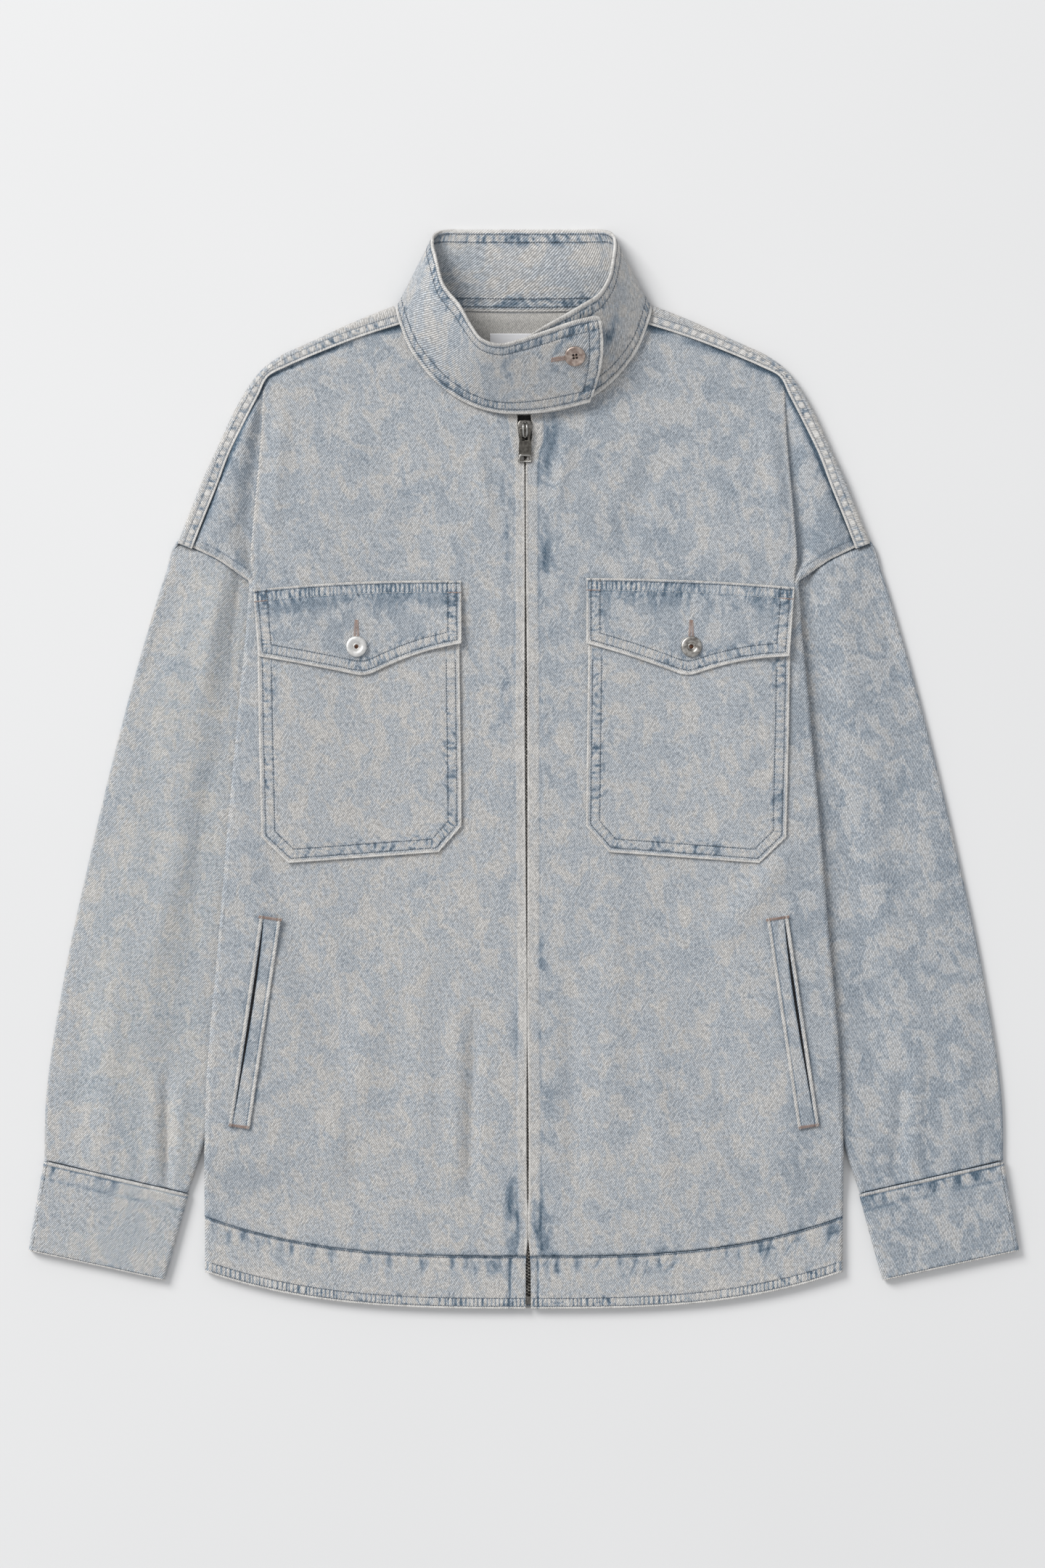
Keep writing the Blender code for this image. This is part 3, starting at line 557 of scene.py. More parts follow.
PLACKET_BLUE = {
    # y, half height, distance from the zip, half width, depth
    -1: ((-356.0, 24.0, 9.0, 6.5, 1.0), (-340.0, 30.0, 13.0, 5.0, 0.8),
         (-205.0, 22.0, 8.0, 4.5, 0.6), (52.0, 20.0, 15.0, 4.0, 0.5),
         (180.0, 40.0, 13.5, 4.0, 0.5), (222.0, 16.0, 11.0, 6.0, 0.6)),
    1: ((-352.0, 30.0, 8.0, 8.0, 1.0), (-366.0, 16.0, 15.0, 8.0, 0.7),
        (-208.0, 24.0, 8.5, 5.0, 0.6), (-150.0, 30.0, 12.0, 4.0, 0.4),
        (170.0, 30.0, 14.5, 4.5, 0.5), (236.0, 14.0, 13.0, 7.0, 0.7),
        (262.0, 12.0, 16.0, 6.0, 0.5)),
}
# Blue added to every right-hand piece, which darkens it: painted shade for the light falling off towards
# the right.
RIGHT_SIDE_SHADE = 0.12
WELT_TOP, WELT_LOW = np.array((198.6, -116.0)), np.array((223.3, -281.5))
WELT_WIDE = 16.5
WELT_BOX = [spot + (aside * WELT_WIDE / 2, 0.0) for aside, spot in
            ((1, WELT_LOW), (-1, WELT_LOW), (-1, WELT_TOP), (1, WELT_TOP), (1, WELT_LOW))]
SHOULDER_SEAM = ((96.5, 349.0), (150.0, 331.0), (201.0, 307.5), (218.5, 273.5), (259.4, 178.0))


def front_relief(side, x, y):
    """Height, wear and blue of a front at a distance x from the middle; the blue also holds painted
    shade.
    """
    seed = 20 + side
    away = x - zip_edge(side, y)
    rim = bump(away, 0.5, 0.9)
    facing = 1 - smooth(away, PLACKET[side] - 1.0, PLACKET[side] + 1.0)
    crease = bump(away, PLACKET[side] + 0.6, 0.9) * (0.6 + 0.4 * ripple(y / 21, away * 0, seed))
    height = 0.25 * rim + 0.30 * facing - 0.2 * crease + 0.12 * ripple(y / 9, away / 9, seed) * facing
    wear_and_painted_light = 0.45 * rim + 0.30 * facing
    indigo_and_painted_shade = 0.35 * crease
    above = y - hem(x, HEM_SEAM)
    drawn = ripple(x / 4.2, y / 30.0, seed + 5) * (1 - smooth(above, 2, 13))
    height += 0.30 * drawn
    height += 2.0 * folds(FRONT_FOLDS[side], x, y) + 0.35 * ripple(x / 46, y / 62, seed + 2)
    height += 0.24 * ripple(x / 13, y / 17, seed + 3) + 0.08 * ripple(x / 6, y / 7, seed + 4)
    wear_and_painted_light += 0.3 * np.maximum(drawn, 0)
    indigo_and_painted_shade += (0.15 * np.maximum(-drawn, 0) + 0.12 * (1 - smooth(above, 1, 9))
               + 0.4 * bump(above, 0.0, 0.9))
    streaks = (0.55 + 0.6 * ripple(away / 3.6, y / 24, seed + 8)
               + 0.35 * ripple(away / 2.4, y / 7, seed + 10))
    indigo_and_painted_shade += 0.22 * bump(away, 15.5, 6.0) * smooth(ripple(y / 24, away / 20, seed + 7), -0.1, 0.7)
    indigo_and_painted_shade += streaks * sum(deep * bump(y, middle, tall) * bump(away, aside, wide)
                            for middle, tall, aside, wide, deep in PLACKET_BLUE[side])
    below, along = from_outline(SHOULDER_SEAM, x, y)
    indigo_and_painted_shade += 0.45 * bump(below, 0, 3.8) * (0.6 + 0.6 * ripple(along / 9, below / 5, seed + 9))
    # Painted shade with unfaded blue: a dark line in the ditch just below the shoulder band's fold.
    indigo_and_painted_shade += 0.95 * bump(below, 0.3, 1.3)
    beside, along = from_outline(WELT_BOX, x, y)
    indigo_and_painted_shade += 0.30 * bump(beside, 1.0, 2.6) * (0.7 + 0.7 * ripple(along / 13, beside / 5, seed + 11))
    # Painted shade: the right front gets added blue. The chest's extra blue is dye.
    indigo_and_painted_shade += 0.5 * RIGHT_SIDE_SHADE * (side > 0) + 0.10 * smooth(y, -40.0, 160.0)
    return height, wear_and_painted_light, indigo_and_painted_shade


def front_point(side, column, row):
    """Point of a front. Columns: 0 zip, 1 crease, 2 outer seam. Rows as in the tables."""
    count = len(LEVELS)
    level_table = np.array([(0.0, y, edge(y) - ROLL, y, edge(y), y) for y in LEVELS])
    table = np.vstack((level_table, FRONT_ROWS))
    inner_x, inner_y, _, _, outer_x, outer_y = np.transpose(straight(table, row))
    crease_x, crease_y = np.transpose(curved(table[:, 2:4], row))
    inner_y = np.where(inner_x > ZIP_NECK, neck(inner_x) + NECK_TUCK, inner_y)
    part = np.clip(column, 0, 1)
    y = inner_y + (crease_y - inner_y) * part
    under_band = smooth(row, len(table) - 3.0, len(table) - 1.0)
    y = y + (3.0 * (1 - part) + 6.0 * np.sin(pi * part)) * under_band
    zip_y = np.where(row < 1, LEVELS[1] + (HEM_SEAM[0] - LEVELS[1]) * (1 - row), y)
    start = np.where(inner_x < ZIP_NECK, zip_edge(side, zip_y), inner_x)
    x = start + (crease_x - start) * part
    outside = np.clip(column - 1, 0, 1)
    bend = np.where(row > count + 0.01, outside ** 2 * (3 - 2 * outside) * 0.4 + outside * 0.6,
                    np.sin(outside * pi / 2))
    x = x + (outer_x - crease_x) * bend * (column > 1)
    y = y + (outer_y - crease_y) * bend * (column > 1)
    y = np.where(row < 1, LEVELS[1] + (hem(x, HEM_SEAM) - LEVELS[1]) * (1 - row), y)
    top = front_z(np.minimum(x, crease_x), y)
    low_roll = (top + FLOOR + bed(outer_x, y)) / 2 + SIDE_SEAM / 2
    rolled = low_roll + (top - low_roll) * np.cos(outside * pi / 2)
    crown = CROWN[side]
    rim = OUTER + ARM_EDGE * (1 - smooth(y, 158.0, 171.0))
    dropped = (top + (VALLEY - top) * smooth(outside, 0.0, 0.08)
               + (crown - VALLEY) * smooth(outside, 0.12, 0.50)
               + (rim - crown) * smooth(outside, 0.62, 1.0))
    flat_top = top + (OUTER - top) * smooth(outside, 0.0, 0.42)
    sharp = 1 - smooth(y, 262.0, 306.0)
    dropped = flat_top + (dropped - flat_top) * sharp
    lift = smooth(row, count - 0.2, count + 1.0)
    x = x - TUCK * np.sin(pi * np.clip(outside / 0.12, 0, 1)) ** 2 * sharp * lift
    z = np.where(column > 1, rolled + (dropped - rolled) * lift, top)
    return x, y, z


def front_cloth(side, column, row):
    x, y, z = front_point(side, column, row)
    height, wear_and_painted_light, indigo_and_painted_shade = front_relief(side, x, y)
    beyond = smooth(column, 1.0, 1.25)
    ditch = bump(from_outline(SHOULDER_SEAM, x, y)[0], 0.3, 1.5)
    z = z + height * (1 - beyond) - 1.2 * ditch
    seam_off = np.abs(armhole(x) - y)
    shade = beyond * smooth(y, 120, 180)
    wear_and_painted_light = wear_and_painted_light + 1.0 * bump(seam_off, 1.0, 1.1) * shade
    wear_and_painted_light = wear_and_painted_light + 0.4 * bump(column, 1.0, 0.012) * smooth(y, 120, 180)
    # Painted shade: the dropped shoulder past the crease is darkened with blue. The stitch row beside
    # the armhole stays blue.
    indigo_and_painted_shade = indigo_and_painted_shade + 0.10 * smooth(x, 190, 214) + 0.45 * bump(seam_off, ARM_ROW, 1.0) * shade
    flat = np.stack((x * side + 400 * side, y + 30 * side), -1)
    return np.stack((side * x, y, z), -1), flat, wear_and_painted_light, indigo_and_painted_shade


front_columns = np.concatenate((stations(212, 2.6, 0.9, [(0, 15), (208, 212)]) / 212,
                                1 + stations(50, 2.4, 0.5, [(0, 5), (47, 50)])[1:] / 50))
row_lengths = np.concatenate(([0.0], np.cumsum(np.abs(np.diff(np.concatenate(
    ([-352.0], LEVELS[1:], FRONT_ROWS[:, 3])))) + 0.01)))
front_long = row_lengths[-1]
front_rows = np.interp(stations(front_long, 3.3, 1.2, [(0, 12), (front_long - 22, front_long)]),
                       row_lengths, np.arange(len(row_lengths)))
for side in SIDE_NAMES:
    sided_cloth("front_", side, front_columns, front_rows, front_cloth, CLOTH, (DENIM, REVERSE),
                under=["back"], flat=(0.272, 0.74), area=0.155)


# ---------------------------------------------------------------------------
# Back. One panel that is carried over the shoulders: it folds round the
# shoulder edge and is felled to the front as a narrow band with twin stitching.
BAND = 6.9
BAND_RADIUS = (BAND - FLOOR) / 2
SHOULDER_BOW, TIP_ROUND = 3.0, 2.4
NECK_POINT = np.array((102.0, 363.0, 96.5, 349.0))
SHOULDER_EDGE = np.array((
    # edge_x, edge_y, seam_x, seam_y
    (271.6, 176.9, 260.6, 172.4),
    (262.5, 200.0, 251.4, 196.0),
    (252.0, 226.5, 240.5, 223.0),
    (241.0, 250.5, 231.5, 247.0),
    (228.0, 278.7, 218.5, 273.5),
    (216.5, 299.0, 208.5, 293.0),
    (205.0, 313.5, 201.0, 307.5),
))
SLOPE_STEPS = 7
slope = np.arange(1, SLOPE_STEPS + 1)[:, None] / SLOPE_STEPS
SHOULDER_EDGE = np.vstack((
    SHOULDER_EDGE,
    SHOULDER_EDGE[-1] + (NECK_POINT - SHOULDER_EDGE[-1]) * slope
    + SHOULDER_BOW * np.sin(pi * slope) * np.array((0, 1, 0, 1))
    + TIP_ROUND * bump(slope, 0.14, 0.17) * np.array((0, 1, 0, 0.35))))
BAND_STEPS = len(SHOULDER_EDGE) - 1
BAND_RUN = np.concatenate(([0.0], np.cumsum(np.hypot(*np.diff(SHOULDER_EDGE[:, 2:], axis=0).T))))
BACK_ROWS = np.array((
    # mid_y, knot_x, knot_y, side_x, side_y, end_x, end_y
    (133.0, 100.0, 137.0, 211.9, 146.0, 214.9, 147.0),
    (158.0, 100.0, 158.0, 212.5, 162.0, 242.0, 164.0),
    (182.0, 100.0, 180.0, 212.0, 182.0, 267.7, 178.2),
    (210.0, 100.0, 205.0, 210.0, 206.0, 259.5, 198.9),
    (238.0, 100.0, 232.0, 206.0, 232.0, 249.0, 225.6),
    (266.0, 100.0, 260.0, 201.0, 256.0, 238.1, 249.4),
    (296.0, 100.0, 290.0, 194.0, 280.0, 225.2, 277.1),
    (326.0, 100.0, 322.0, 185.0, 303.0, 213.9, 297.2),
))
BACK_NECK_Y = 357.5
KNOT, SIDE = 3 / 7, 1.0


def band_point(step, turn):
    """Band: turns 0 to 6 go round the shoulder edge, 7 and 8 lie on the front."""
    ends = curved(SHOULDER_EDGE, step)
    edge_xy, seam_xy = ends[..., :2], ends[..., 2:]
    away = edge_xy - seam_xy
    away /= np.linalg.norm(away, axis=-1, keepdims=True)
    centre = edge_xy - away * BAND_RADIUS
    angle = -pi / 2 + pi * np.clip(turn, 0, 6) / 6
    part = (np.clip(turn - 6, 0, 2) / 2)[..., None]
    round_off = (BAND_RADIUS * np.cos(angle) * (turn < 6))[..., None]
    spot = centre + away * round_off + (seam_xy - centre) * part
    z = (FLOOR + BAND) / 2 + BAND_RADIUS * np.sin(angle)
    return spot[..., 0], spot[..., 1], z


BAND_ROWS = (2.2, 7.4)
PUFF_PITCH = 7.2


def band_measures(step, turn):
    """Distance from the folded edge, and the distance along the band."""
    ends = curved(SHOULDER_EDGE, step)
    flat_wide = np.hypot(*(np.transpose(ends[..., :2] - ends[..., 2:]))) - BAND_RADIUS
    away = np.where(turn > 6, (8 - turn) / 2 * flat_wide, flat_wide + (6 - turn) / 6 * pi * BAND_RADIUS)
    return away, np.interp(step, np.arange(len(BAND_RUN)), BAND_RUN)


def band_relief(side, away, along):
    """Pale square puffs stand between the two rows of the felled seam."""
    height, wear_and_painted_light, indigo_and_painted_shade = sewn(away, along, BAND_ROWS, 40 + side, puff=0.1, reach=2.0)
    turns = along / PUFF_PITCH + 0.3 * ripple(along / 17, away * 0, 44)
    puff = smooth(np.sin(2 * pi * turns), -0.35, 0.35)
    between = smooth(away, 2.6, 3.4) * (1 - smooth(away, 6.2, 7.0))
    height += 0.35 * (puff - 0.5) * between
    wear_and_painted_light += 0.16 + 0.60 * puff * between
    indigo_and_painted_shade += 0.42 * (1 - puff) * between
    return height, wear_and_painted_light, indigo_and_painted_shade


def band_cloth(side, step, turn):
    x, y, z = band_point(step, turn)
    away, along = band_measures(step, turn)
    height, wear_and_painted_light, indigo_and_painted_shade = band_relief(side, away, along)
    z = z + height * (turn > 5)
    flat = np.stack((-side * along, away + 700 + 60 * side), -1)
    return np.stack((side * x, y, z), -1), flat, wear_and_painted_light, indigo_and_painted_shade


def back_point(column, row):
    """Back panel: columns 0 middle, 3/7 neck, 1 side crease, 2 edge; rows as the fronts."""
    count = len(LEVELS)
    side = np.sign(column)
    column = np.abs(column)
    level_table = np.array([(y, (edge(y) - ROLL) * KNOT, y, edge(y) - ROLL, y, edge(y), y)
                            for y in LEVELS])
    mid_y, knot_x, knot_y, side_x, side_y, end_x, end_y = np.transpose(
        straight(np.vstack((level_table, BACK_ROWS)), row))
    inner = np.clip(column / KNOT, 0, 1)
    middle = np.clip((column - KNOT) / (SIDE - KNOT), 0, 1)
    outer = np.clip(column - SIDE, 0, 1)
    x = knot_x * inner + (side_x - knot_x) * middle
    y = mid_y + (knot_y - mid_y) * inner + (side_y - knot_y) * middle
    bend = np.where(row < count, np.sin(outer * pi / 2), outer)
    x = x + (end_x - side_x) * bend
    y = y + (end_y - side_y) * bend
    last = count + len(BACK_ROWS) - 1
    top = np.clip(row - last, 0, 1)
    steps = BAND_STEPS - SLOPE_STEPS * np.clip((column - KNOT) / (2 - KNOT), 0, 1)
    shoulder_x, shoulder_y, _ = band_point(steps, np.zeros_like(steps))
    shoulder_x = np.where(column < KNOT, shoulder_x * inner, shoulder_x)
    shoulder_y = np.where(column < KNOT, BACK_NECK_Y + (shoulder_y - BACK_NECK_Y) * inner, shoulder_y)
    x = x + (shoulder_x - x) * top
    y = y + (shoulder_y - y) * top
    z = FLOOR + bed(x, y) * smooth(count + 1 - row, 0, 1)
    seam = (front_z(side_x, y) + FLOOR + bed(end_x, y)) / 2 - SIDE_SEAM / 2
    rolled = seam - (seam - z) * np.cos(outer * pi / 2)
    z = np.where(column > 1, z + (rolled - z) * smooth(count + 0.5 - row, 0, 1), z)
    hem_y = hem(x, HEM_SEAM)
    y = np.where(row < 1, hem_y + (LEVELS[1] - hem_y) * row, y)
    return side * x, y, z


def back_cloth(column, row):
    x, y, z = back_point(column, row)
    wear_and_painted_light = 0.12 * ripple(x / 30, y / 60, 51)
    flat = np.stack((x + 1200, y), -1)
    return np.stack((x, y, z), -1), flat, wear_and_painted_light, 0 * x


half_columns = np.concatenate((np.linspace(0, 1, 40), 1 + np.linspace(0, 1, 9)[1:]))
back_columns = np.concatenate((-half_columns[:0:-1], half_columns))
back_rows = np.concatenate((np.linspace(0, 10, 81)[:-1], np.linspace(10, 18, 41)))
parts = [cloth_mesh("back", back_columns, back_rows, back_cloth, flip=True)]
band_steps = np.interp(np.arange(0, BAND_RUN[-1] + 1.0, 1.35), BAND_RUN, np.arange(len(BAND_RUN)))
band_turns = np.concatenate((np.linspace(0, 6, 8), np.linspace(6, 8, 14)[1:]))
for side in (-1, 1):
    parts.append(cloth_mesh("band", band_steps, band_turns,
                            lambda i, j: band_cloth(side, i, j), flip=side < 0))
wall_of_cloth(joined("back", parts), CLOTH, (DENIM, REVERSE), "back", flat=(0.56, 0.80), area=0.40)


# ---------------------------------------------------------------------------
# Sleeves and cuffs. A sleeve is one piece sewn to a tube and set into the
# armhole flat; its inner half lies under the body. The cuff is a doubled band.
SLEEVE_EDGE, SLEEVE_HIGH, SLEEVE_LOW = 4.6, 7.0, 3.2
SLEEVE_STEP = 44.0
# The left sleeve's small drop in wear is wash. The right sleeve and the right cuff are less worn as
# painted shade, for the light falling off towards the right.
SLEEVE_WEAR_AND_SHADE = {-1: -0.01, 1: -0.10}
CUFF_PAINTED_SHADE = {-1: 0.0, 1: -0.16}
CUFF_ROWS = np.array((
    # outer_x, outer_y, inner_x, inner_y
    (376.2, -308.4, 264.2, -334.0),
    (380.3, -331.6, 270.2, -356.4),
    (384.4, -355.0, 276.3, -378.7),
    (388.2, -378.5, 282.8, -401.5),
))
CUFF_HIGH = 7.0
CUFF_ACROSS, CUFF_LONG = 110.0, 71.0
CUFF_SEAM, CUFF_TURNING = 3.5, 14.0
CUFF_ROW, CUFF_LOW_ROW = 4.7, 2.2
SLEEVE_FOLDS = {
    -1: ((221.0, 158.0, 225.0, 70.0, 5.5, -1.9), (238.0, 152.0, 254.0, 50.0, 9.0, 1.5),
         (258.0, 160.0, 300.0, 60.0, 12.0, -0.8), (280.5, -236.0, 281.0, -336.0, 3.0, -2.5),
         (269.0, -240.0, 271.0, -330.0, 5.5, 1.2), (291.0, -240.0, 290.0, -332.0, 6.0, 1.3),
         (322.0, -150.0, 330.0, -310.0, 10.0, 1.0), (346.0, -170.0, 350.0, -300.0, 8.0, -0.8),
         (300.0, 60.0, 286.0, -90.0, 12.0, -0.9), (262.0, -50.0, 304.0, -180.0, 11.0, 0.9),
         (238.0, 20.0, 262.0, -110.0, 9.0, -0.8)),
    1: ((222.0, 158.0, 227.0, 66.0, 5.5, -1.9), (242.0, 152.0, 262.0, 40.0, 10.0, 1.3),
        (264.0, 160.0, 304.0, 50.0, 11.0, -0.9), (297.0, -236.0, 292.0, -330.0, 5.0, -1.3),
        (308.0, -220.0, 306.0, -330.0, 6.0, 1.1), (342.0, -150.0, 348.0, -300.0, 10.0, 0.9),
        (296.0, 40.0, 300.0, -100.0, 13.0, -0.9), (258.0, -30.0, 296.0, -160.0, 11.0, 0.8),
        (240.0, 10.0, 268.0, -120.0, 9.0, -0.7)),
}


def sleeve_height(part, row):
    """Highest under the light, low where the body lies over it, full again at the cuff."""
    rising = SLEEVE_EDGE + (SLEEVE_HIGH - SLEEVE_EDGE) * np.sin(pi / 2 * np.clip(part / 0.42, 0, 1))
    falling = (SLEEVE_HIGH - SLEEVE_LOW) * smooth(part, 0.50, 0.76)
    return rising - falling * (1 - 0.75 * smooth(row, 8.2, 10.2))


def tube_point(table, wall, height, turn, row):
    """Flat tube: turns 0 to 1 across the top, 1 to 2 round the inner edge, 2 to 3
    back underneath and 3 to 4 round the outer edge."""
    ends = curved(table, row)
    outer, inner = ends[..., :2], ends[..., 2:]
    along = inner - outer
    along /= np.linalg.norm(along, axis=-1, keepdims=True)
    part = np.where(turn < 2, np.clip(turn, 0, 1), np.clip(3 - turn, 0, 1))
    tall = height(part, row) - wall
    radius = (tall / 2)[..., None]
    swing = pi * np.where(turn < 2, np.clip(turn - 1, 0, 1), np.clip(turn - 3, 0, 1))
    bulge = radius * (np.sin(swing) * np.where(turn < 2, 1, -1))[..., None]
    left, right = outer + along * radius, inner - along * radius
    spot = left + (right - left) * part[..., None] + along * bulge
    z = wall / 2 + tall / 2 * (1 + np.where(turn < 2, np.cos(swing), -np.cos(swing)))
    return spot[..., 0], spot[..., 1], z, part


TUBE_LEAN = radians(12.0)


def tube_flat(side, table, tall, turn, row, across):
    """Cloth coordinates of a flat tube: its top lies as drawn, turned with the grain."""
    ends = curved(table, row)
    outer, inner = ends[..., :2], ends[..., 2:]
    wide = np.linalg.norm(inner - outer, axis=-1)
    bend = pi * tall / 2
    round_it = (wide * (np.clip(turn, 0, 1) + np.clip(turn - 2, 0, 1))
                + bend * (np.clip(turn - 1, 0, 1) + np.clip(turn - 3, 0, 1)))
    spot = outer + (inner - outer) * (round_it / wide)[..., None]
    x, y = side * spot[..., 0], spot[..., 1]
    turned_by = -side * TUBE_LEAN
    return np.stack((x * cos(turned_by) - y * sin(turned_by) + across,
                     x * sin(turned_by) + y * cos(turned_by)), -1)


def sleeve_cloth(side, turn, row):
    x, y, z, part = tube_point(SLEEVE_ROWS, CLOTH, sleeve_height, turn, row)
    rise = np.where(row < 1, (armhole(x) + 1.0 - y) * (1 - row), 0)
    y = y + rise
    top = (turn <= 1) * smooth(part, 0.0, 0.05)
    seed = 60 + side
    down = row * SLEEVE_STEP
    height = 1.5 * folds(SLEEVE_FOLDS[side], x, y) + 0.35 * ripple(x / 40, y / 60, seed)
    height += 0.24 * ripple(x / 13, y / 17, seed + 1)
    near_cuff = smooth(row, 9.9, 10.9)
    drawn = ripple(part * 30, row / 2, seed + 3)
    height += 0.45 * drawn * near_cuff
    below = (armhole(x) - y) * 0.88
    tucked = np.where(row < 3, bump(below, -1.0, 3.6), 0) * (turn <= 1)
    z = z + height * top * smooth(down, 1.0, 8.0) - 3.0 * tucked
    z = np.where(turn <= 1, np.maximum(z, 2.0 * CLOTH - 0.2), z)
    # Painted shade: the right sleeve is made less worn and bluer.
    wear_and_painted_light = SLEEVE_WEAR_AND_SHADE[side] + 0.35 * np.maximum(drawn, 0) * near_cuff
    # Painted shade with unfaded blue: a dark line on the sleeve just below the armhole seam, where the
    # cap's edge stands over it.
    indigo_and_painted_shade = (0.30 * np.maximum(-drawn, 0) * near_cuff
              + 1.1 * np.where(row < 3, bump(below, 0.2, 1.0), 0)
              + 0.35 * bump(row, len(SLEEVE_ROWS) - 1.0, 0.05) + RIGHT_SIDE_SHADE * (side > 0))
    flat = tube_flat(side, SLEEVE_ROWS, 5.0, turn, row, 1800 * side)
    flat[..., 1] += np.where(turn <= 1, rise, 0)
    return np.stack((side * x, y, z), -1), flat, wear_and_painted_light, indigo_and_painted_shade


def cuff_cloth(side, turn, row):
    x, y, z, part = tube_point(CUFF_ROWS, DOUBLE, lambda part, row: CUFF_HIGH + 0 * part, turn, row)
    seed = 70 + side
    across, down = part * CUFF_ACROSS, row / 3 * CUFF_LONG
    height, wear_and_painted_light, indigo_and_painted_shade = sewn(down, across, (CUFF_ROW,), seed, puff=0.42, reach=11.0, pitch=3.2,
                                fold=0.4)
    low, low_worn, low_blue = sewn(CUFF_LONG - down, across, (CUFF_LOW_ROW,), seed + 4, puff=0.10,
                                   reach=4.0, pitch=3.0)
    turning = bump(down + 1.3 * ripple(part * 8, 0 * down, seed + 9), CUFF_TURNING, 1.0)
    ridge = bump(down, 1.7, 1.0)
    height += (low + 0.6 * ridge - 0.35 * bump(down, CUFF_SEAM, 0.9) - 0.3 * turning
               + 0.3 * ripple(x / 30, y / 30, seed))
    z = z + height * (turn <= 1)
    ticks = 1.5 * ripple(across / 5.0, down / 40, seed + 8) * smooth(down, 4.0, 5.4)
    ticks = ticks * (1 - smooth(down, 8, 15))
    # Painted shade: the right cuff is made less worn and bluer.
    wear_and_painted_light += low_worn + CUFF_PAINTED_SHADE[side] + 0.6 * ridge + 0.25 * np.maximum(ticks, 0)
    indigo_and_painted_shade += (low_blue * 0.8 + 0.42 * turning + 0.9 * bump(down, 0.0, 0.7)
               + 0.8 * bump(down, CUFF_SEAM, 0.6) + 0.7 * np.maximum(-ticks, 0)
               + 0.6 * RIGHT_SIDE_SHADE * (side > 0))
    flat = tube_flat(side, CUFF_ROWS, CUFF_HIGH - DOUBLE, turn, row, 2200 * side)
    return np.stack((side * x, y, z), -1), flat, wear_and_painted_light, indigo_and_painted_shade


def ring_turns(top, edge_turns, under):
    """Stations round a flat tube from those across its top."""
    bend = np.linspace(0, 1, edge_turns + 1)[1:]
    return np.concatenate((top, 1 + bend, 2 + np.linspace(0, 1, under + 1)[1:], 3 + bend))


sleeve_turns = ring_turns(stations(125, 2.8, 1.5, [(0, 6), (119, 125)]) / 125, 6, 12)
sleeve_long = (len(SLEEVE_ROWS) - 1) * SLEEVE_STEP
sleeve_rows = stations(sleeve_long, 3.0, 1.2, [(0, 6), (sleeve_long - 10, sleeve_long)]) / SLEEVE_STEP
cuff_turns = ring_turns(stations(112, 1.1, 1.1, [(0, 4)]) / 112, 7, 12)
cuff_rows = stations(CUFF_LONG, 2.0, 0.8, [(0, 5), (65, 71)]) / CUFF_LONG * 3
for side in SIDE_NAMES:
    sided_cloth("sleeve_", side, sleeve_turns, sleeve_rows, sleeve_cloth, CLOTH, (DENIM, REVERSE),
                seam=True, flat=(0.26, 0.50), area=0.118)
    sided_cloth("cuff_", side, cuff_turns, cuff_rows, cuff_cloth, DOUBLE, (DENIM,),
                seam=True, flat=(0.236, 0.073))


# ---------------------------------------------------------------------------
# Hem band. A doubled strip sewn below the panels, in two front halves and one
# back piece, with two rows of stitches near its lower fold and one at the seam.
HEM_ROWS = (1.9, 8.2)
HEM_WIDE = 41.0
HEM_GAP = 0.25
HEM_MIDDLE = -395.0
FLAT_HALF = float(edge(HEM_MIDDLE)) - ROLL


def hem_point(side, front, column, row):
    """Hem band: columns 0 middle, 1 side crease, 2 side seam; rows 0 top to 1 bottom."""
    low = DOUBLE / 2
    top = FRONT + (DOUBLE - CLOTH) / 2
    level = top if front else low
    seam = (top + low) / 2 + (SIDE_SEAM / 2 if front else -SIDE_SEAM / 2)
    inner, turn = np.clip(column, 0, 1), np.clip(column - 1, 0, 1) * pi / 2
    x = FLAT_HALF * inner + ROLL * np.sin(turn)
    z = seam + (level - seam) * np.cos(turn)
    upper = hem(x, HEM_SEAM) - HEM_GAP
    y = upper + (hem(x, HEM_EDGE) - upper) * row
    if front:
        x = x + zip_edge(side, y) * (1 - inner)
    return x, y, z


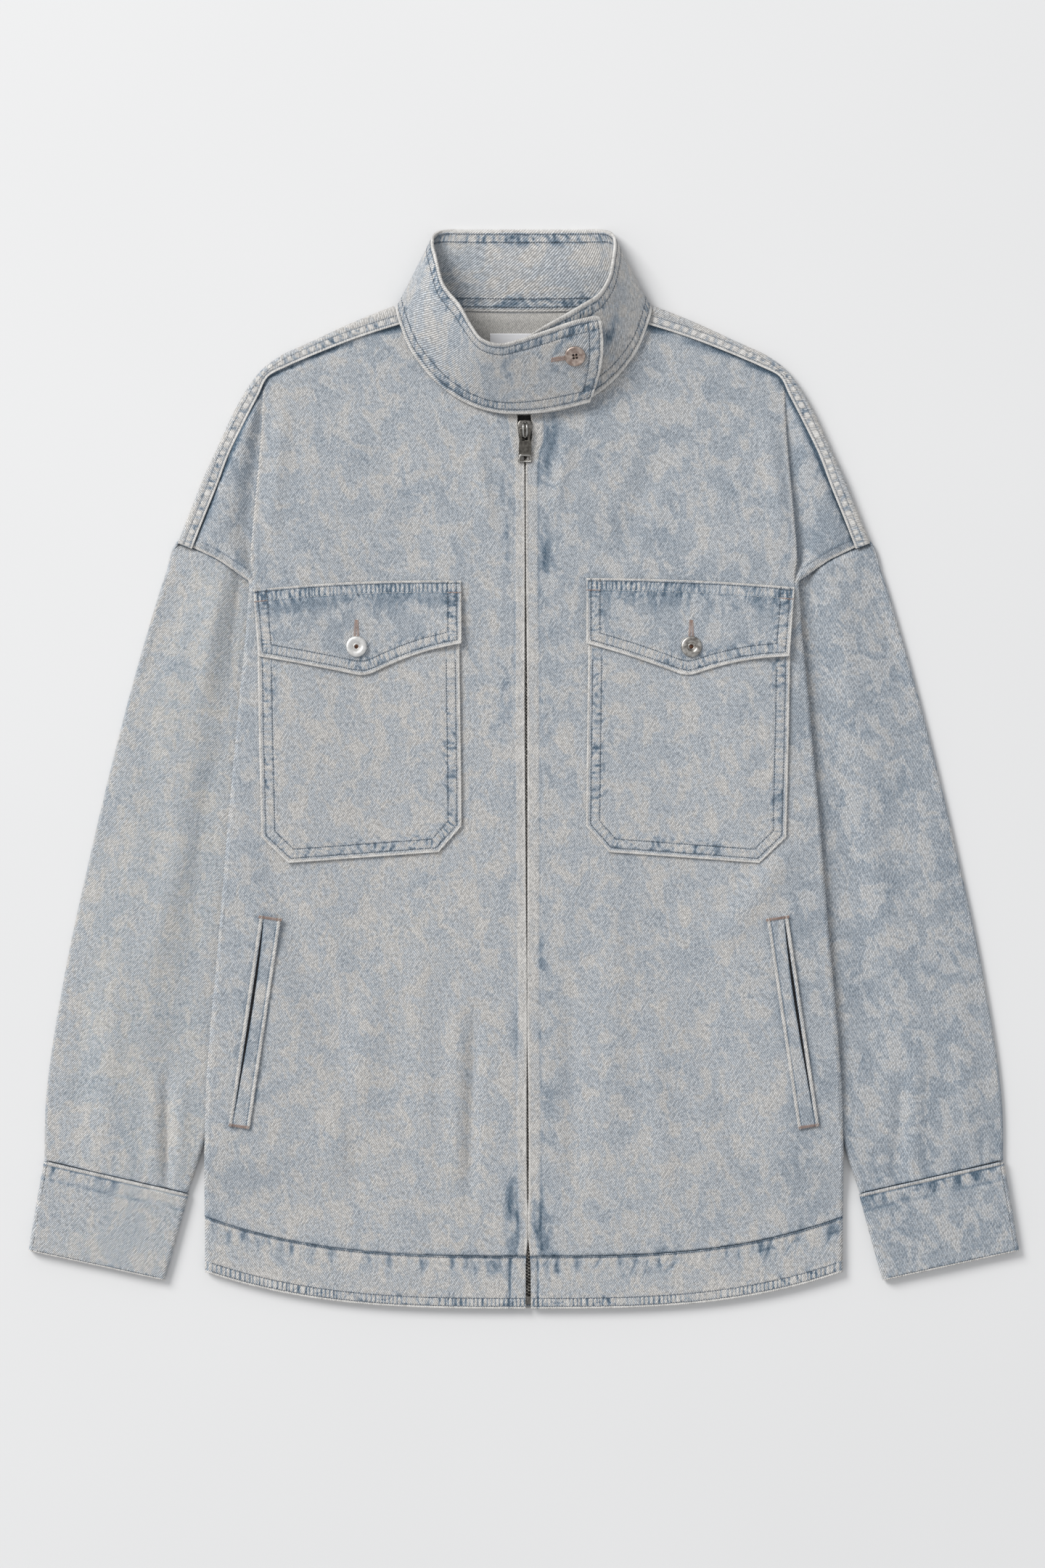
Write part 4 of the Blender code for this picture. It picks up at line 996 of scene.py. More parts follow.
def hem_relief(side, x, row):
    """Puckers hang from the hem seam and stand on the lower rows of stitches."""
    seed = 80 + side
    above = (1 - row) * HEM_WIDE
    height, wear_and_painted_light, indigo_and_painted_shade = sewn(above, x, HEM_ROWS, seed, puff=0.30, reach=8.0, pitch=5.0, comb=1.0)
    below = row * HEM_WIDE
    crumple = bump(ripple((x + 0.45 * below) / 8.0, below / 18, seed + 5), 0.0, 0.16)
    crumple *= (smooth(below, 0.5, 3) * (1 - smooth(below, 12, 28))
                * smooth(ripple(x / 21, below / 30, seed + 7), -0.4, 0.5))
    drawn = ripple((x + 0.2 * below) / 3.4, below / 24, seed + 6) * (1 - smooth(below, 5, 18))
    smudge = smooth(ripple((x - 0.2 * below) / 5.0, below / 40, seed + 8), 0.0, 0.7)
    smudge = smudge * (1 - smooth(below, 6, 24))
    placket = bump(x, PLACKET[-1] + 4.0, 1.1) + 0.7 * bump(x, PLACKET[1] + 1.5, 1.3)
    placket = placket * smooth(below, 0, 3)
    height += 0.25 * drawn - 0.45 * crumple + 0.25 * bump(below, 0.8, 1.0) - 0.35 * placket
    wear_and_painted_light += 0.35 * np.maximum(drawn, 0) + 0.3 * bump(below, 2.4, 0.9)
    indigo_and_painted_shade += (0.55 * np.maximum(-drawn, 0) + 0.5 * crumple + 0.85 * bump(below, 0.1, 1.2)
               + 0.55 * smudge + 0.6 * placket)
    return height, wear_and_painted_light + 0.08, indigo_and_painted_shade


def hem_cloth(side, column, row, front=True):
    x, y, z = hem_point(side, front, column, row)
    height, wear_and_painted_light, indigo_and_painted_shade = hem_relief(side if front else 3 * side, x, row)
    lift = 1 - np.clip(column - 1, 0, 1)
    z = z + height * lift * front
    flat = np.stack((side * x + 2600 + 300 * front, y - 40 * side), -1)
    return np.stack((side * x, y, z), -1), flat, wear_and_painted_light, indigo_and_painted_shade


hem_columns = np.concatenate((stations(246, 1.05, 0.9, [(0, 8)]) / 246, 1 + np.linspace(0, 1, 6)[1:]))
hem_rows = stations(HEM_WIDE, 1.6, 0.75, [(0, 5), (30, 41)]) / HEM_WIDE
for side in SIDE_NAMES:
    sided_cloth("hem_front_", side, hem_columns, hem_rows, hem_cloth, DOUBLE, (DENIM,), flip=1,
                under=["hem_back"], flat=(0.252, 0.042))
hem_back_mesh = cloth_mesh("hem_back", np.linspace(-2, 2, 97), hem_rows,
                           lambda i, j: hem_cloth(np.where(i < 0, -1, 1), np.abs(i), j, front=False))
wall_of_cloth(hem_back_mesh, DOUBLE, (DENIM,), "hem_back", flat=(0.504, 0.042))


# ---------------------------------------------------------------------------
# Stand collar. A doubled strip, double stitched all round, that stands up from
# the neck seam, leans in, and ends in a tab buttoned across the top of the zip.
COLLAR = np.array((
    # low_x, low_y, low_z, top_x, top_y, top_z
    (6.0, 279.6, 7.8, 3.0, 336.5, 33.0),
    (20.0, 280.0, 7.8, 14.0, 343.5, 35.0),
    (38.0, 284.2, 7.8, 29.0, 351.7, 37.0),
    (56.0, 293.5, 7.8, 44.0, 360.2, 39.0),
    (73.0, 307.8, 7.8, 58.0, 369.5, 38.0),
    (88.0, 327.5, 8.6, 66.3, 384.0, 33.0),
    (96.0, 346.0, 9.4, 69.4, 400.0, 25.0),
    (99.5, 358.0, 9.0, 70.6, 412.5, 15.0),
    (97.5, 362.5, 4.6, 68.5, 420.0, 6.5),
    (86.0, 361.3, 1.6, 61.0, 423.7, 1.6),
    (58.0, 360.0, 1.0, 42.0, 423.7, 1.0),
    (20.0, 359.2, 1.0, 14.0, 423.7, 1.0),
    (-20.0, 359.2, 1.0, -14.0, 423.7, 1.0),
    (-58.0, 360.0, 1.0, -42.0, 423.7, 1.0),
    (-86.0, 361.3, 1.6, -61.0, 423.7, 1.6),
    (-97.5, 362.5, 4.6, -69.0, 420.0, 6.5),
    (-99.5, 358.0, 9.0, -71.0, 412.5, 15.0),
    (-96.0, 346.0, 9.4, -68.0, 398.5, 25.0),
    (-88.0, 327.5, 8.6, -62.0, 377.0, 33.0),
    (-73.0, 307.8, 7.8, -49.5, 360.5, 38.0),
    (-56.0, 293.5, 7.8, -41.5, 346.0, 40.0),
    (-38.0, 284.2, 8.2, -33.0, 334.5, 40.0),
    (-20.0, 279.4, 9.6, -19.5, 330.3, 39.0),
    (-4.0, 278.3, 11.4, -5.0, 333.2, 38.5),
    (14.0, 279.2, 11.9, 18.0, 340.8, 39.5),
    (33.0, 282.7, 11.9, 38.0, 347.6, 41.0),
    (51.8, 287.3, 11.9, 59.5, 352.6, 42.0),
))
COLLAR_CROWN = 1.2
COLLAR_TALL = 62.0
COLLAR_SPACE = 18.5
COLLAR_END = len(COLLAR) - 1
COLLAR_ROWS = (3.6, 9.8)
TAB_BULGE = 5.5
TAB_ROUND = 6.5


def collar_middle(station, part):
    """Middle of the collar's wall, part of the way from the neck seam to the top."""
    ends = curved(COLLAR, station)
    points = ends[..., :3] + (ends[..., 3:] - ends[..., :3]) * part[..., None]
    crown = np.sin(pi * part)
    end = smooth(station, COLLAR_END - 2, COLLAR_END)
    points[..., 0] += TAB_BULGE * end * crown
    points[..., 2] += COLLAR_CROWN * crown
    return points


def outward(surface, a, b, step=0.02):
    """Unit normals of a surface that is given by two parameters."""
    across = surface(a + step, b) - surface(a - step, b)
    along = surface(a, b + step) - surface(a, b - step)
    normal = np.cross(across, along)
    return normal / np.linalg.norm(normal, axis=-1, keepdims=True)


def collar_relief(station, part):
    along = station * COLLAR_SPACE
    below, above = part * COLLAR_TALL, (1 - part) * COLLAR_TALL
    height, wear_and_painted_light, indigo_and_painted_shade = sewn(above, along, COLLAR_ROWS, 90, puff=0.32, reach=6.0, pitch=2.3,
                                roll=1.3, comb=0.55)
    low, low_worn, low_blue = sewn(below, along, COLLAR_ROWS, 92, puff=0.26, reach=6.0, pitch=2.6,
                                   roll=1.1, comb=0.5)
    ends = (COLLAR_END - station) * COLLAR_SPACE
    inside = smooth(below, 2, 5) * smooth(above, 2, 5)
    end, end_worn, end_blue = sewn(ends, below, COLLAR_ROWS, 94, puff=0.25, reach=4.0, pitch=3.0,
                                   roll=1.3)
    height += low + end * inside + 0.5 * ripple(along / 30, part * 2.2, 96) * bump(part, 0.5, 0.3)
    drag = ripple(along / 13, below / 40, 97) * bump(part, 0.45, 0.3)
    crumpled = smooth(ripple(along / 37, below / 45, 98), -0.35, 0.45)
    wrinkle = bump(ripple((along + below) / 17, below / 21, 99), 0.0, 0.13) * crumpled
    stain = smooth(ripple((along - below) / 12, below / 15, 100), 0.1, 0.8) * crumpled
    height -= 0.35 * wrinkle * smooth(below, 5, 9) * smooth(above, 5, 9)
    wear_and_painted_light += low_worn + end_worn * inside + 0.12 + 0.12 * np.maximum(drag, 0)
    # Painted light and shade: the right front of the collar, which faces away from the light, is
    # lightened, and the left front is darkened.
    wear_and_painted_light += 0.16 * smooth(station, 1.5, 4.5) * (1 - smooth(station, 7, 9)) - 0.10 * bump(station, 18, 4)
    indigo_and_painted_shade += low_blue + end_blue * inside + 0.22 * np.maximum(-drag, 0) + 0.40 * wrinkle + 0.52 * stain
    back = smooth(station, 8.5, 9.5) * (1 - smooth(station, 14.5, 15.5))
    indigo_and_painted_shade += 0.10 + 0.42 * back * bump(below, 6.7, 3.0)
    return height, wear_and_painted_light, indigo_and_painted_shade


def rounded(station, part):
    """Collar coordinates with the tab's upper corner drawn in to a round."""
    across = np.clip(1 - (COLLAR_END - station) * COLLAR_SPACE / TAB_ROUND, 0, 1)
    along = np.clip(1 - (1 - part) * COLLAR_TALL / TAB_ROUND, 0, 1)
    back = across * (1 - np.sqrt(1 - along ** 2 / 2))
    down = along * (1 - np.sqrt(1 - across ** 2 / 2))
    return station - back * TAB_ROUND / COLLAR_SPACE, part - down * TAB_ROUND / COLLAR_TALL


def collar_cloth(station, part):
    height, wear_and_painted_light, indigo_and_painted_shade = collar_relief(station, part)
    station, part = rounded(station, part)
    normal = outward(collar_middle, station, part)
    points = collar_middle(station, part) + normal * height[..., None]
    flat = np.stack((station * COLLAR_SPACE + 3200, part * COLLAR_TALL), -1)
    return points, flat, wear_and_painted_light, indigo_and_painted_shade


collar_long = COLLAR_END * COLLAR_SPACE
collar_columns = stations(collar_long, 1.5, 0.9,
                          [(0, 3), (collar_long - 12, collar_long)]) / COLLAR_SPACE
collar_rows = stations(COLLAR_TALL, 2.2, 0.8, [(0, 11), (51, 62)]) / COLLAR_TALL
collar_mesh = cloth_mesh("collar", collar_columns, collar_rows, collar_cloth)
wall_of_cloth(collar_mesh, DOUBLE, (DENIM, INSIDE_DENIM), "collar",
              under=["front_left", "front_right", "back"], flat=(0.52, 0.066))


# ---------------------------------------------------------------------------
# Chest pockets and flaps. Patch pockets with clipped lower corners, double
# stitched on three sides, each under a pointed flap sewn down above it.
POCKET_ROWS = np.array((
    # inner_x, inner_y, outer_x, outer_y
    (67.0, -65.5, 184.5, -74.0),
    (48.8, -45.0, 205.8, -53.6),
    (49.2, -3.0, 206.8, -11.0),
    (49.8, 40.0, 207.8, 33.0),
    (50.4, 86.0, 208.6, 80.0),
    (50.7, 131.7, 209.3, 128.0),
))
FLAP_TOP = np.array(((49.2, 146.4), (212.3, 139.0)))
FLAP_LOW = np.array(((48.9, 98.3), (128.8, 72.2), (208.0, 88.0)))
FLAP_RISE = {-1: (1.2, 2.6), 1: (3.2, 1.8)}
FLAP_POINT = {-1: -4.4, 1: -0.8}
FLAP_BOWS = {-1: (3.5, 0.5), 1: (1.3, 3.5)}
FLAP_CURLS = {-1: (52.0, 100.0), 1: (206.0, 90.0)}
POCKET_LIFT = CLOTH / 2 + LAY + CLOTH / 2
FLAP_LIFT = POCKET_LIFT + CLOTH + LAY
DOUBLE_ROW = (3.6, 10.6)
FLAP_TOP_ROWS = (2.2, 9.6)


def inset(outline, distance):
    """An open outline moved to its left by a distance, its corners mitred."""
    outline = np.asarray(outline, float)
    along = np.diff(outline, axis=0)
    along /= np.linalg.norm(along, axis=1, keepdims=True)
    aside = np.stack((-along[:, 1], along[:, 0]), -1)
    moved = [outline[0] + aside[0] * distance]
    for corner, before, after in zip(outline[1:-1], aside, aside[1:]):
        moved.append(corner + (before + after) * distance / (1 + before @ after))
    moved.append(outline[-1] + aside[-1] * distance)
    return np.array(moved)


def flap_top(side, column):
    """Upper edge of a flap, a little bowed up."""
    top = FLAP_TOP[0] + (FLAP_TOP[1] - FLAP_TOP[0]) * column[..., None]
    rise, bow = FLAP_RISE[side]
    top[..., 1] += rise + bow * np.sin(pi * np.clip(column, 0, 1))
    return top


def flap_low(side, column):
    """Lower edge of a flap: two halves, each bowed up, that meet in a blunt point."""
    low = straight(FLAP_LOW, column * 2)
    low[..., 0] += FLAP_POINT[side] * (1 - np.abs(2 * column - 1))
    inner, outer = FLAP_BOWS[side]
    low[..., 1] += np.where(column < 0.5, inner, outer) * np.abs(np.sin(2 * pi * column))
    low[..., 1] += 1.2 * bump(column, 0.5, 0.02)
    return low


def flap_outline(side):
    ends = flap_top(side, np.array((0.0, 1.0)))
    return np.array([ends[0], *flap_low(side, np.linspace(0, 1, 17)), ends[1]])


POCKET_OUTLINE = np.array([row[:2] for row in POCKET_ROWS[::-1]] + [row[2:] for row in POCKET_ROWS])
FLAP_OUTLINES = {side: flap_outline(side) for side in (-1, 1)}


def pocket_relief(side, x, y):
    away, along = from_outline(POCKET_OUTLINE, x, y)
    height, wear_and_painted_light, indigo_and_painted_shade = sewn(away, along, DOUBLE_ROW, 100 + side, puff=0.26, reach=8.0, pitch=2.7,
                                comb=0.35)
    height += 0.45 * ripple(x / 34, y / 50, 103 + side) * smooth(away, 6, 40)
    height += 0.24 * ripple(x / 13, y / 17, 106 + side) * smooth(away, 6, 20)
    # Painted shade: the right pocket gets added blue.
    return height, wear_and_painted_light + 0.05, indigo_and_painted_shade + 0.04 + 0.6 * RIGHT_SIDE_SHADE * (side > 0)


def pocket_cloth(side, column, row):
    ends = straight(POCKET_ROWS, row)
    x = ends[..., 0] + (ends[..., 2] - ends[..., 0]) * column
    y = ends[..., 1] + (ends[..., 3] - ends[..., 1]) * column
    height, wear_and_painted_light, indigo_and_painted_shade = pocket_relief(side, x, y)
    flat = np.stack((side * x + 3900 + 200 * side, y), -1)
    z = front_z(x, y) + POCKET_LIFT + height
    return np.stack((side * x, y, z), -1), flat, wear_and_painted_light, indigo_and_painted_shade


def flap_level(side, x, y):
    """Height of the flap's middle: it steps up over the pocket below the sewn strip."""
    part = (x - FLAP_TOP[0, 0]) / (FLAP_TOP[1, 0] - FLAP_TOP[0, 0])
    down = flap_top(side, part)[..., 1] - y
    return front_z(x, y) + POCKET_LIFT + (FLAP_LIFT - POCKET_LIFT) * smooth(down, 2.0, 15.0), down


def flap_relief(side, x, y):
    away, along = from_outline(FLAP_OUTLINES[side], x, y)
    height, wear_and_painted_light, indigo_and_painted_shade = sewn(away, along, DOUBLE_ROW, 110 + side, puff=0.26, reach=7.0, pitch=2.6,
                                comb=0.4)
    down = flap_level(side, x, y)[1]
    top, top_worn, top_blue = sewn(down, x, FLAP_TOP_ROWS, 113 + side, puff=0.34, reach=8.0, pitch=1.9,
                                   comb=0.8)
    curl_x, curl_y = FLAP_CURLS[side]
    height += top + 0.4 * ripple(x / 26, y / 26, 116 + side)
    height += 2.0 * bump(np.hypot(x - curl_x, y - curl_y), 0, 22.0)
    comb = 0.5 + 0.5 * ripple(x / 2.4, down / 40, 119 + side)
    deep = smooth(down, 9.4, 10.6) * (1 - smooth(down, 12 + 6 * comb, 20 + 12 * comb))
    wear_and_painted_light += top_worn + 0.30 * (1 - smooth(away, 9, 15)) * smooth(down, 12, 24)
    indigo_and_painted_shade += top_blue + 0.22 + (0.08 + 0.34 * comb) * deep
    return height, wear_and_painted_light, indigo_and_painted_shade


def flap_cloth(side, column, row):
    top, low = flap_top(side, column), flap_low(side, column)
    spot = low + (top - low) * row[..., None]
    x, y = spot[..., 0], spot[..., 1]
    height, wear_and_painted_light, indigo_and_painted_shade = flap_relief(side, x, y)
    flat = np.stack((side * x + 4700 + 200 * side, y), -1)
    z = flap_level(side, x, y)[0] + height
    return np.stack((side * x, y, z), -1), flat, wear_and_painted_light, indigo_and_painted_shade


pocket_columns = stations(157, 2.6, 0.9, [(0, 13), (144, 157)]) / 157
pocket_lengths = np.concatenate(([0.0], np.cumsum(np.hypot(*np.diff(POCKET_ROWS[:, 2:], axis=0).T))))
pocket_rows = np.interp(stations(pocket_lengths[-1], 2.0, 1.05, [(0, 32)]), pocket_lengths,
                        np.arange(len(POCKET_ROWS)))
flap_columns = np.union1d(stations(160, 0.9, 0.85, [(0, 11), (149, 160)]) / 160, [0.5])
flap_rows = stations(54, 1.9, 0.9, [(0, 12), (40, 54)]) / 54
for side, name in SIDE_NAMES.items():
    sided_cloth("pocket_", side, pocket_columns, pocket_rows, pocket_cloth, CLOTH, (DENIM, REVERSE),
                under=["front_" + name], flat=(0.160, 0.205), area=0.0315)
    sided_cloth("flap_", side, flap_columns, flap_rows, flap_cloth, CLOTH, (DENIM, DENIM),
                under=["pocket_" + name, "front_" + name], flat=(0.164, 0.074), area=0.0095)


# ---------------------------------------------------------------------------
# Hand pockets. A slanted slit on each side of the body, with a narrow welt of
# folded denim sewn along its inner side and bar tacked at both ends.
WELT_LONG = float(np.linalg.norm(WELT_TOP - WELT_LOW))
MOUTH_WIDE = 2.1
WELT_ROLL, WELT_GROOVE = 1.3, 2.9


def welt_mouth(row):
    """Width of the open mouth along a welt."""
    return MOUTH_WIDE * np.sin(pi * np.clip((row - 0.04) / 0.94, 0, 1) ** 1.35) ** 0.75


def welt_relief(side, across, along):
    """Two rolled edges beside a flat strip. across runs from the inner edge to the outer."""
    seed = 130 + side
    slit = WELT_WIDE - across
    rolls = bump(across, WELT_ROLL, 0.85) + bump(slit, WELT_ROLL, 0.85)
    mouth = welt_mouth(along / WELT_LONG)
    strip = smooth(across, 3.0, 3.8) * smooth(slit, mouth + 2.4, mouth + 3.2)
    groove = bump(across, WELT_GROOVE, 0.5) + bump(slit, WELT_GROOVE + mouth / 2, 0.6 + mouth / 2)
    height = (0.35 + 0.05 * np.sin(along * 2 * pi / 2.1)) * rolls
    height = height - 0.45 * np.minimum(groove, 1) - 0.1 * strip
    wear_and_painted_light = 0.6 * rolls
    # Painted shade with unfaded blue: the grooves are darkened, deepest beside the open mouth.
    indigo_and_painted_shade = 0.9 * groove + (0.14 + 0.20 * ripple(across / 8, along / 15, seed)) * strip
    return height, wear_and_painted_light, indigo_and_painted_shade


def welt_spot(side, across, row, rise):
    """Place beside the line of a welt, and its height over the front."""
    spot = WELT_LOW + (WELT_TOP - WELT_LOW) * row[..., None]
    x = spot[..., 0] + across - WELT_WIDE / 2
    y = spot[..., 1] + 0.15 * (across - WELT_WIDE / 2)
    return np.stack((side * x, y, front_z(x, y) + POCKET_LIFT + rise), -1)


def welt_cloth(side, column, row):
    across, along = column * WELT_WIDE, row * WELT_LONG
    height, wear_and_painted_light, indigo_and_painted_shade = welt_relief(side, across, along)
    flat = np.stack((side * across + 5300, along), -1)
    return welt_spot(side, across, row, height), flat, wear_and_painted_light, indigo_and_painted_shade


def bag_cloth(side, column, row):
    """Strip of pocket bag in the open mouth, made near black as painted shade for the dark inside of the
    pocket.
    """
    across = WELT_WIDE - WELT_GROOVE - welt_mouth(row) * (1 - column)
    flat = np.stack((side * across + 5500, row * WELT_LONG), -1)
    return welt_spot(side, across, row, CLOTH / 2 - 0.27 + 0 * row), flat, 0 * row, 0 * row


def textured(name, shine, kind, inputs, stops, deep, on_cloth=False, **settings):
    """Material whose colour and relief follow one texture, with its tree, shader and tone."""
    made, tree, shader = blank_material(name, *shine)
    place = (node(tree, "UVMap", uv_map="cloth").outputs["UV"] if on_cloth
             else node(tree, "TexCoord").outputs["Object"])
    tone = node(tree, kind, {"Vector": place, **inputs}, **settings).outputs["Fac"]
    tree.links.new(ramp(tree, tone, stops), shader.inputs["Base Color"])
    cloth_bump(tree, shader, tone, deep)
    return made, tree, shader, tone


# Near-black cloth for the pocket bag in the welts' mouths: painted shade for the dark inside of the
# pocket.
BAG_AND_MOUTH_SHADE = textured("bag_and_mouth_shade", (0.9, 0.0, 0.1), "TexNoise", {"Scale": 700.0, "Detail": 2.0},
                        ((0.35, (0.006, 0.006, 0.007)), (0.75, (0.030, 0.030, 0.032))), 0.0001,
                        on_cloth=True)[0]
welt_columns = stations(WELT_WIDE, 1.0, 0.6, [(0, 5), (11, 16)]) / WELT_WIDE
welt_rows = stations(WELT_LONG, 1.6, 0.7, [(0, 4), (WELT_LONG - 4, WELT_LONG)]) / WELT_LONG
for side, name in SIDE_NAMES.items():
    sided_cloth("welt_", side, welt_columns, welt_rows, welt_cloth, CLOTH, (DENIM, DENIM),
                under=["front_" + name], flat=(0.0165, 0.1675))
    bag_mesh = cloth_mesh("bag_" + name, np.linspace(0, 1, 5), np.linspace(0.02, 0.98, 81),
                          lambda i, j: bag_cloth(side, i, j), flip=side < 0)
    add_piece("pocket_bag_" + name, bag_mesh, (BAG_AND_MOUTH_SHADE,), wall=0.2)


# ---------------------------------------------------------------------------
# Topstitching. Grey-blue cotton thread, lockstitched about two millimetres to
# a stitch; tan thread whips the buttonholes and bar tacks the pocket ends.
STITCH = 2.0
THREAD = 0.8
THREAD_LIFT = 0.12
SEAM_ROW = 0.7


def thread_material(name, dark, light):
    made, tree, shader = blank_material(name, 0.8, specular=0.25)
    place = node(tree, "TexCoord").outputs["Object"]
    patches = node(tree, "TexNoise", {"Vector": place, "Scale": 160.0, "Detail": 2.0}).outputs["Fac"]
    tree.links.new(ramp(tree, patches, ((0.35, dark), (0.65, light))), shader.inputs["Base Color"])
    plies = node(tree, "TexNoise", {"Vector": place, "Scale": 2600.0}).outputs["Fac"]
    cloth_bump(tree, shader, plies, 0.00008)
    return made


GREY_THREAD = thread_material("grey_thread", (0.075, 0.085, 0.10), (0.17, 0.18, 0.195))
SOFT_THREAD = thread_material("soft_grey_thread", (0.16, 0.18, 0.21), (0.30, 0.32, 0.345))
PALE_THREAD = thread_material("pale_thread", (0.48, 0.49, 0.50), (0.66, 0.66, 0.65))
TAN_THREAD = thread_material("tan_thread", (0.36, 0.24, 0.195), (0.52, 0.38, 0.32))


def stitch_marks(surface, line, lift, upward=True, pitch=STITCH, cover=0.7):
    """Start, end and outward direction of each stitch along a line on a surface."""
    line = straight(line, np.linspace(0, len(line) - 1, 40 * len(line)))
    spots = surface(line[:, 0], line[:, 1])
    run = np.concatenate(([0.0], np.cumsum(np.linalg.norm(np.diff(spots, axis=0), axis=1))))
    count = max(1, round(run[-1] / pitch))

    def at(place):
        place = place * run[-1] / count
        return np.interp(place, run, line[:, 0]), np.interp(place, run, line[:, 1])
    order = np.arange(count)
    out = outward(surface, *at(order + 0.5))
    if upward:
        out *= np.sign(out[:, 2:])
    ends = [surface(*at(order + 0.5 + half * cover / 2)) + out * abs(lift) for half in (-1, 1)]
    if lift < 0:
        out = -out
        ends = [end + out * 2 * abs(lift) for end in ends]
    return ends[0], ends[1], out


def sew(name, marks, material, thick=THREAD):
    """Piece of joined stitches, each a slim thread pressed into the cloth at its ends."""
    bm = bmesh.new()
    bmesh.ops.create_uvsphere(bm, u_segments=5, v_segments=3, radius=0.5)
    shape = np.array([vert.co for vert in bm.verts])
    faces = [[vert.index for vert in face.verts] for face in bm.faces]
    bm.free()
    starts, ends, outs = (np.concatenate([mark[part] for mark in marks]) for part in range(3))
    along = ends - starts
    side = np.cross(outs, along)
    side /= np.linalg.norm(side, axis=1, keepdims=True)
    middle = (starts + ends) / 2
    spots = (middle[:, None] + shape[None, :, 2:] * along[:, None] * 1.15
             + shape[None, :, :1] * side[:, None] * thick
             + shape[None, :, 1:2] * outs[:, None] * thick)
    count = len(shape)
    mesh = bpy.data.meshes.new(name)
    mesh.from_pydata((spots.reshape(-1, 3) * MM).tolist(), [],
                     [[corner + count * order for corner in face]
                      for order in range(len(starts)) for face in faces])
    mesh.polygons.foreach_set("use_smooth", [True] * len(mesh.polygons))
    add_piece(name, mesh, (material,))


def panel_surface(side, level, relief):
    """Surface of a panel that lies flat, from its height and its relief at x and y."""
    def surface(x, y):
        return np.stack((side * x, y, level(x, y) + relief(side, x, y)[0]), -1)
    return surface


body_marks, band_marks, pocket_marks, pale_marks, collar_marks = [], [], [], [], []
SINGLE_LIFT = CLOTH / 2 + THREAD_LIFT
DOUBLE_LIFT = DOUBLE / 2 + THREAD_LIFT
for side in SIDE_NAMES:
    cap = front_cloth(side, *[place.ravel() for place in np.meshgrid(
        np.linspace(1.1, 2, 260), np.linspace(len(LEVELS), len(LEVELS) + 3, 260))])[0]

    def drop_shoulder(x, y):
        """Surface of the dropped shoulder, from the nearest of its samples."""
        nearest = [np.argmin(np.hypot(side * cap[:, 0] - a, cap[:, 1] - b))
                   for a, b in zip(x.flat, y.flat)]
        return np.stack((side * x, y, cap[nearest, 2].reshape(x.shape)), -1)
    across = np.linspace(ARM_X + 3, ARM_END_X - 13, 3)
    line = np.stack((across, armhole(across) + ARM_ROW), -1)
    band_marks.append(stitch_marks(drop_shoulder, line, SINGLE_LIFT))

    def band_surface(step, turn):
        x, y, z = band_point(step, turn)
        away, along = band_measures(step, turn)
        height = band_relief(side, away, along)[0]
        return np.stack((side * x, y, z + height * (turn > 5)), -1)
    steps = np.linspace(0.05, BAND_STEPS - 0.05, 40)
    ends = curved(SHOULDER_EDGE, steps)
    flat_wide = np.hypot(*np.transpose(ends[:, :2] - ends[:, 2:])) - BAND_RADIUS
    for row in BAND_ROWS:
        turns = 8 - 2 * np.minimum(row / flat_wide, 0.97)
        band_marks.append(stitch_marks(band_surface, np.stack((steps, turns), -1), SINGLE_LIFT))

    turns = np.linspace(0.03, 0.97, 20)
    line = np.stack((turns, 3 - CUFF_LOW_ROW / CUFF_LONG * 3 + 0 * turns), -1)
    body_marks.append(stitch_marks(lambda turn, row: cuff_cloth(side, turn, row)[0], line, DOUBLE_LIFT))
    columns = np.linspace(0.008, 0.995, 40)
    for row in (*HEM_ROWS, HEM_WIDE - SEAM_ROW):
        line = np.stack((columns, 1 - row / HEM_WIDE + 0 * columns), -1)
        body_marks.append(stitch_marks(lambda column, row: hem_cloth(side, column, row)[0], line,
                                       DOUBLE_LIFT))
    pocket = panel_surface(side, lambda x, y: front_z(x, y) + POCKET_LIFT, pocket_relief)
    flap = panel_surface(side, lambda x, y: flap_level(side, x, y)[0], flap_relief)
    for row in DOUBLE_ROW:
        pocket_marks.append(stitch_marks(pocket, inset(POCKET_OUTLINE, row)[1:-1], SINGLE_LIFT))
        line = inset(FLAP_OUTLINES[side], row)
        pocket_marks.append(stitch_marks(flap, line, SINGLE_LIFT))
    for row, marks, pitch in zip(FLAP_TOP_ROWS, (pocket_marks, pale_marks), (STITCH, 2.7)):
        line = inset(flap_top(side, np.linspace(0.995, 0.005, 9)), row)
        marks.append(stitch_marks(flap, line, SINGLE_LIFT, pitch=pitch))
sew("stitches_body", body_marks, GREY_THREAD)
sew("stitches_band", band_marks, SOFT_THREAD, thick=0.6)
sew("stitches_pockets", pocket_marks, GREY_THREAD)
sew("stitches_flaps", pale_marks, PALE_THREAD, thick=0.62)


def collar_face(station, part):
    return collar_cloth(station, part)[0]


end_station = COLLAR_END - np.array(COLLAR_ROWS) / COLLAR_SPACE
for row, last in zip(COLLAR_ROWS, end_station):
    along = np.linspace(0.4, last, 60)
    low, high = row / COLLAR_TALL + 0 * along, 1 - row / COLLAR_TALL + 0 * along
    down = np.linspace(high[0], low[0], 8)
    tab_end = np.stack((last + 0 * down, down), -1)[1:-1]
    ring = np.vstack((np.stack((along, high), -1), tab_end, np.stack((along, low), -1)[::-1]))
    collar_marks.append(stitch_marks(collar_face, ring, DOUBLE_LIFT, upward=False))
    collar_marks.append(stitch_marks(collar_face, ring, -DOUBLE_LIFT, upward=False))
sew("stitches_collar", collar_marks, GREY_THREAD)


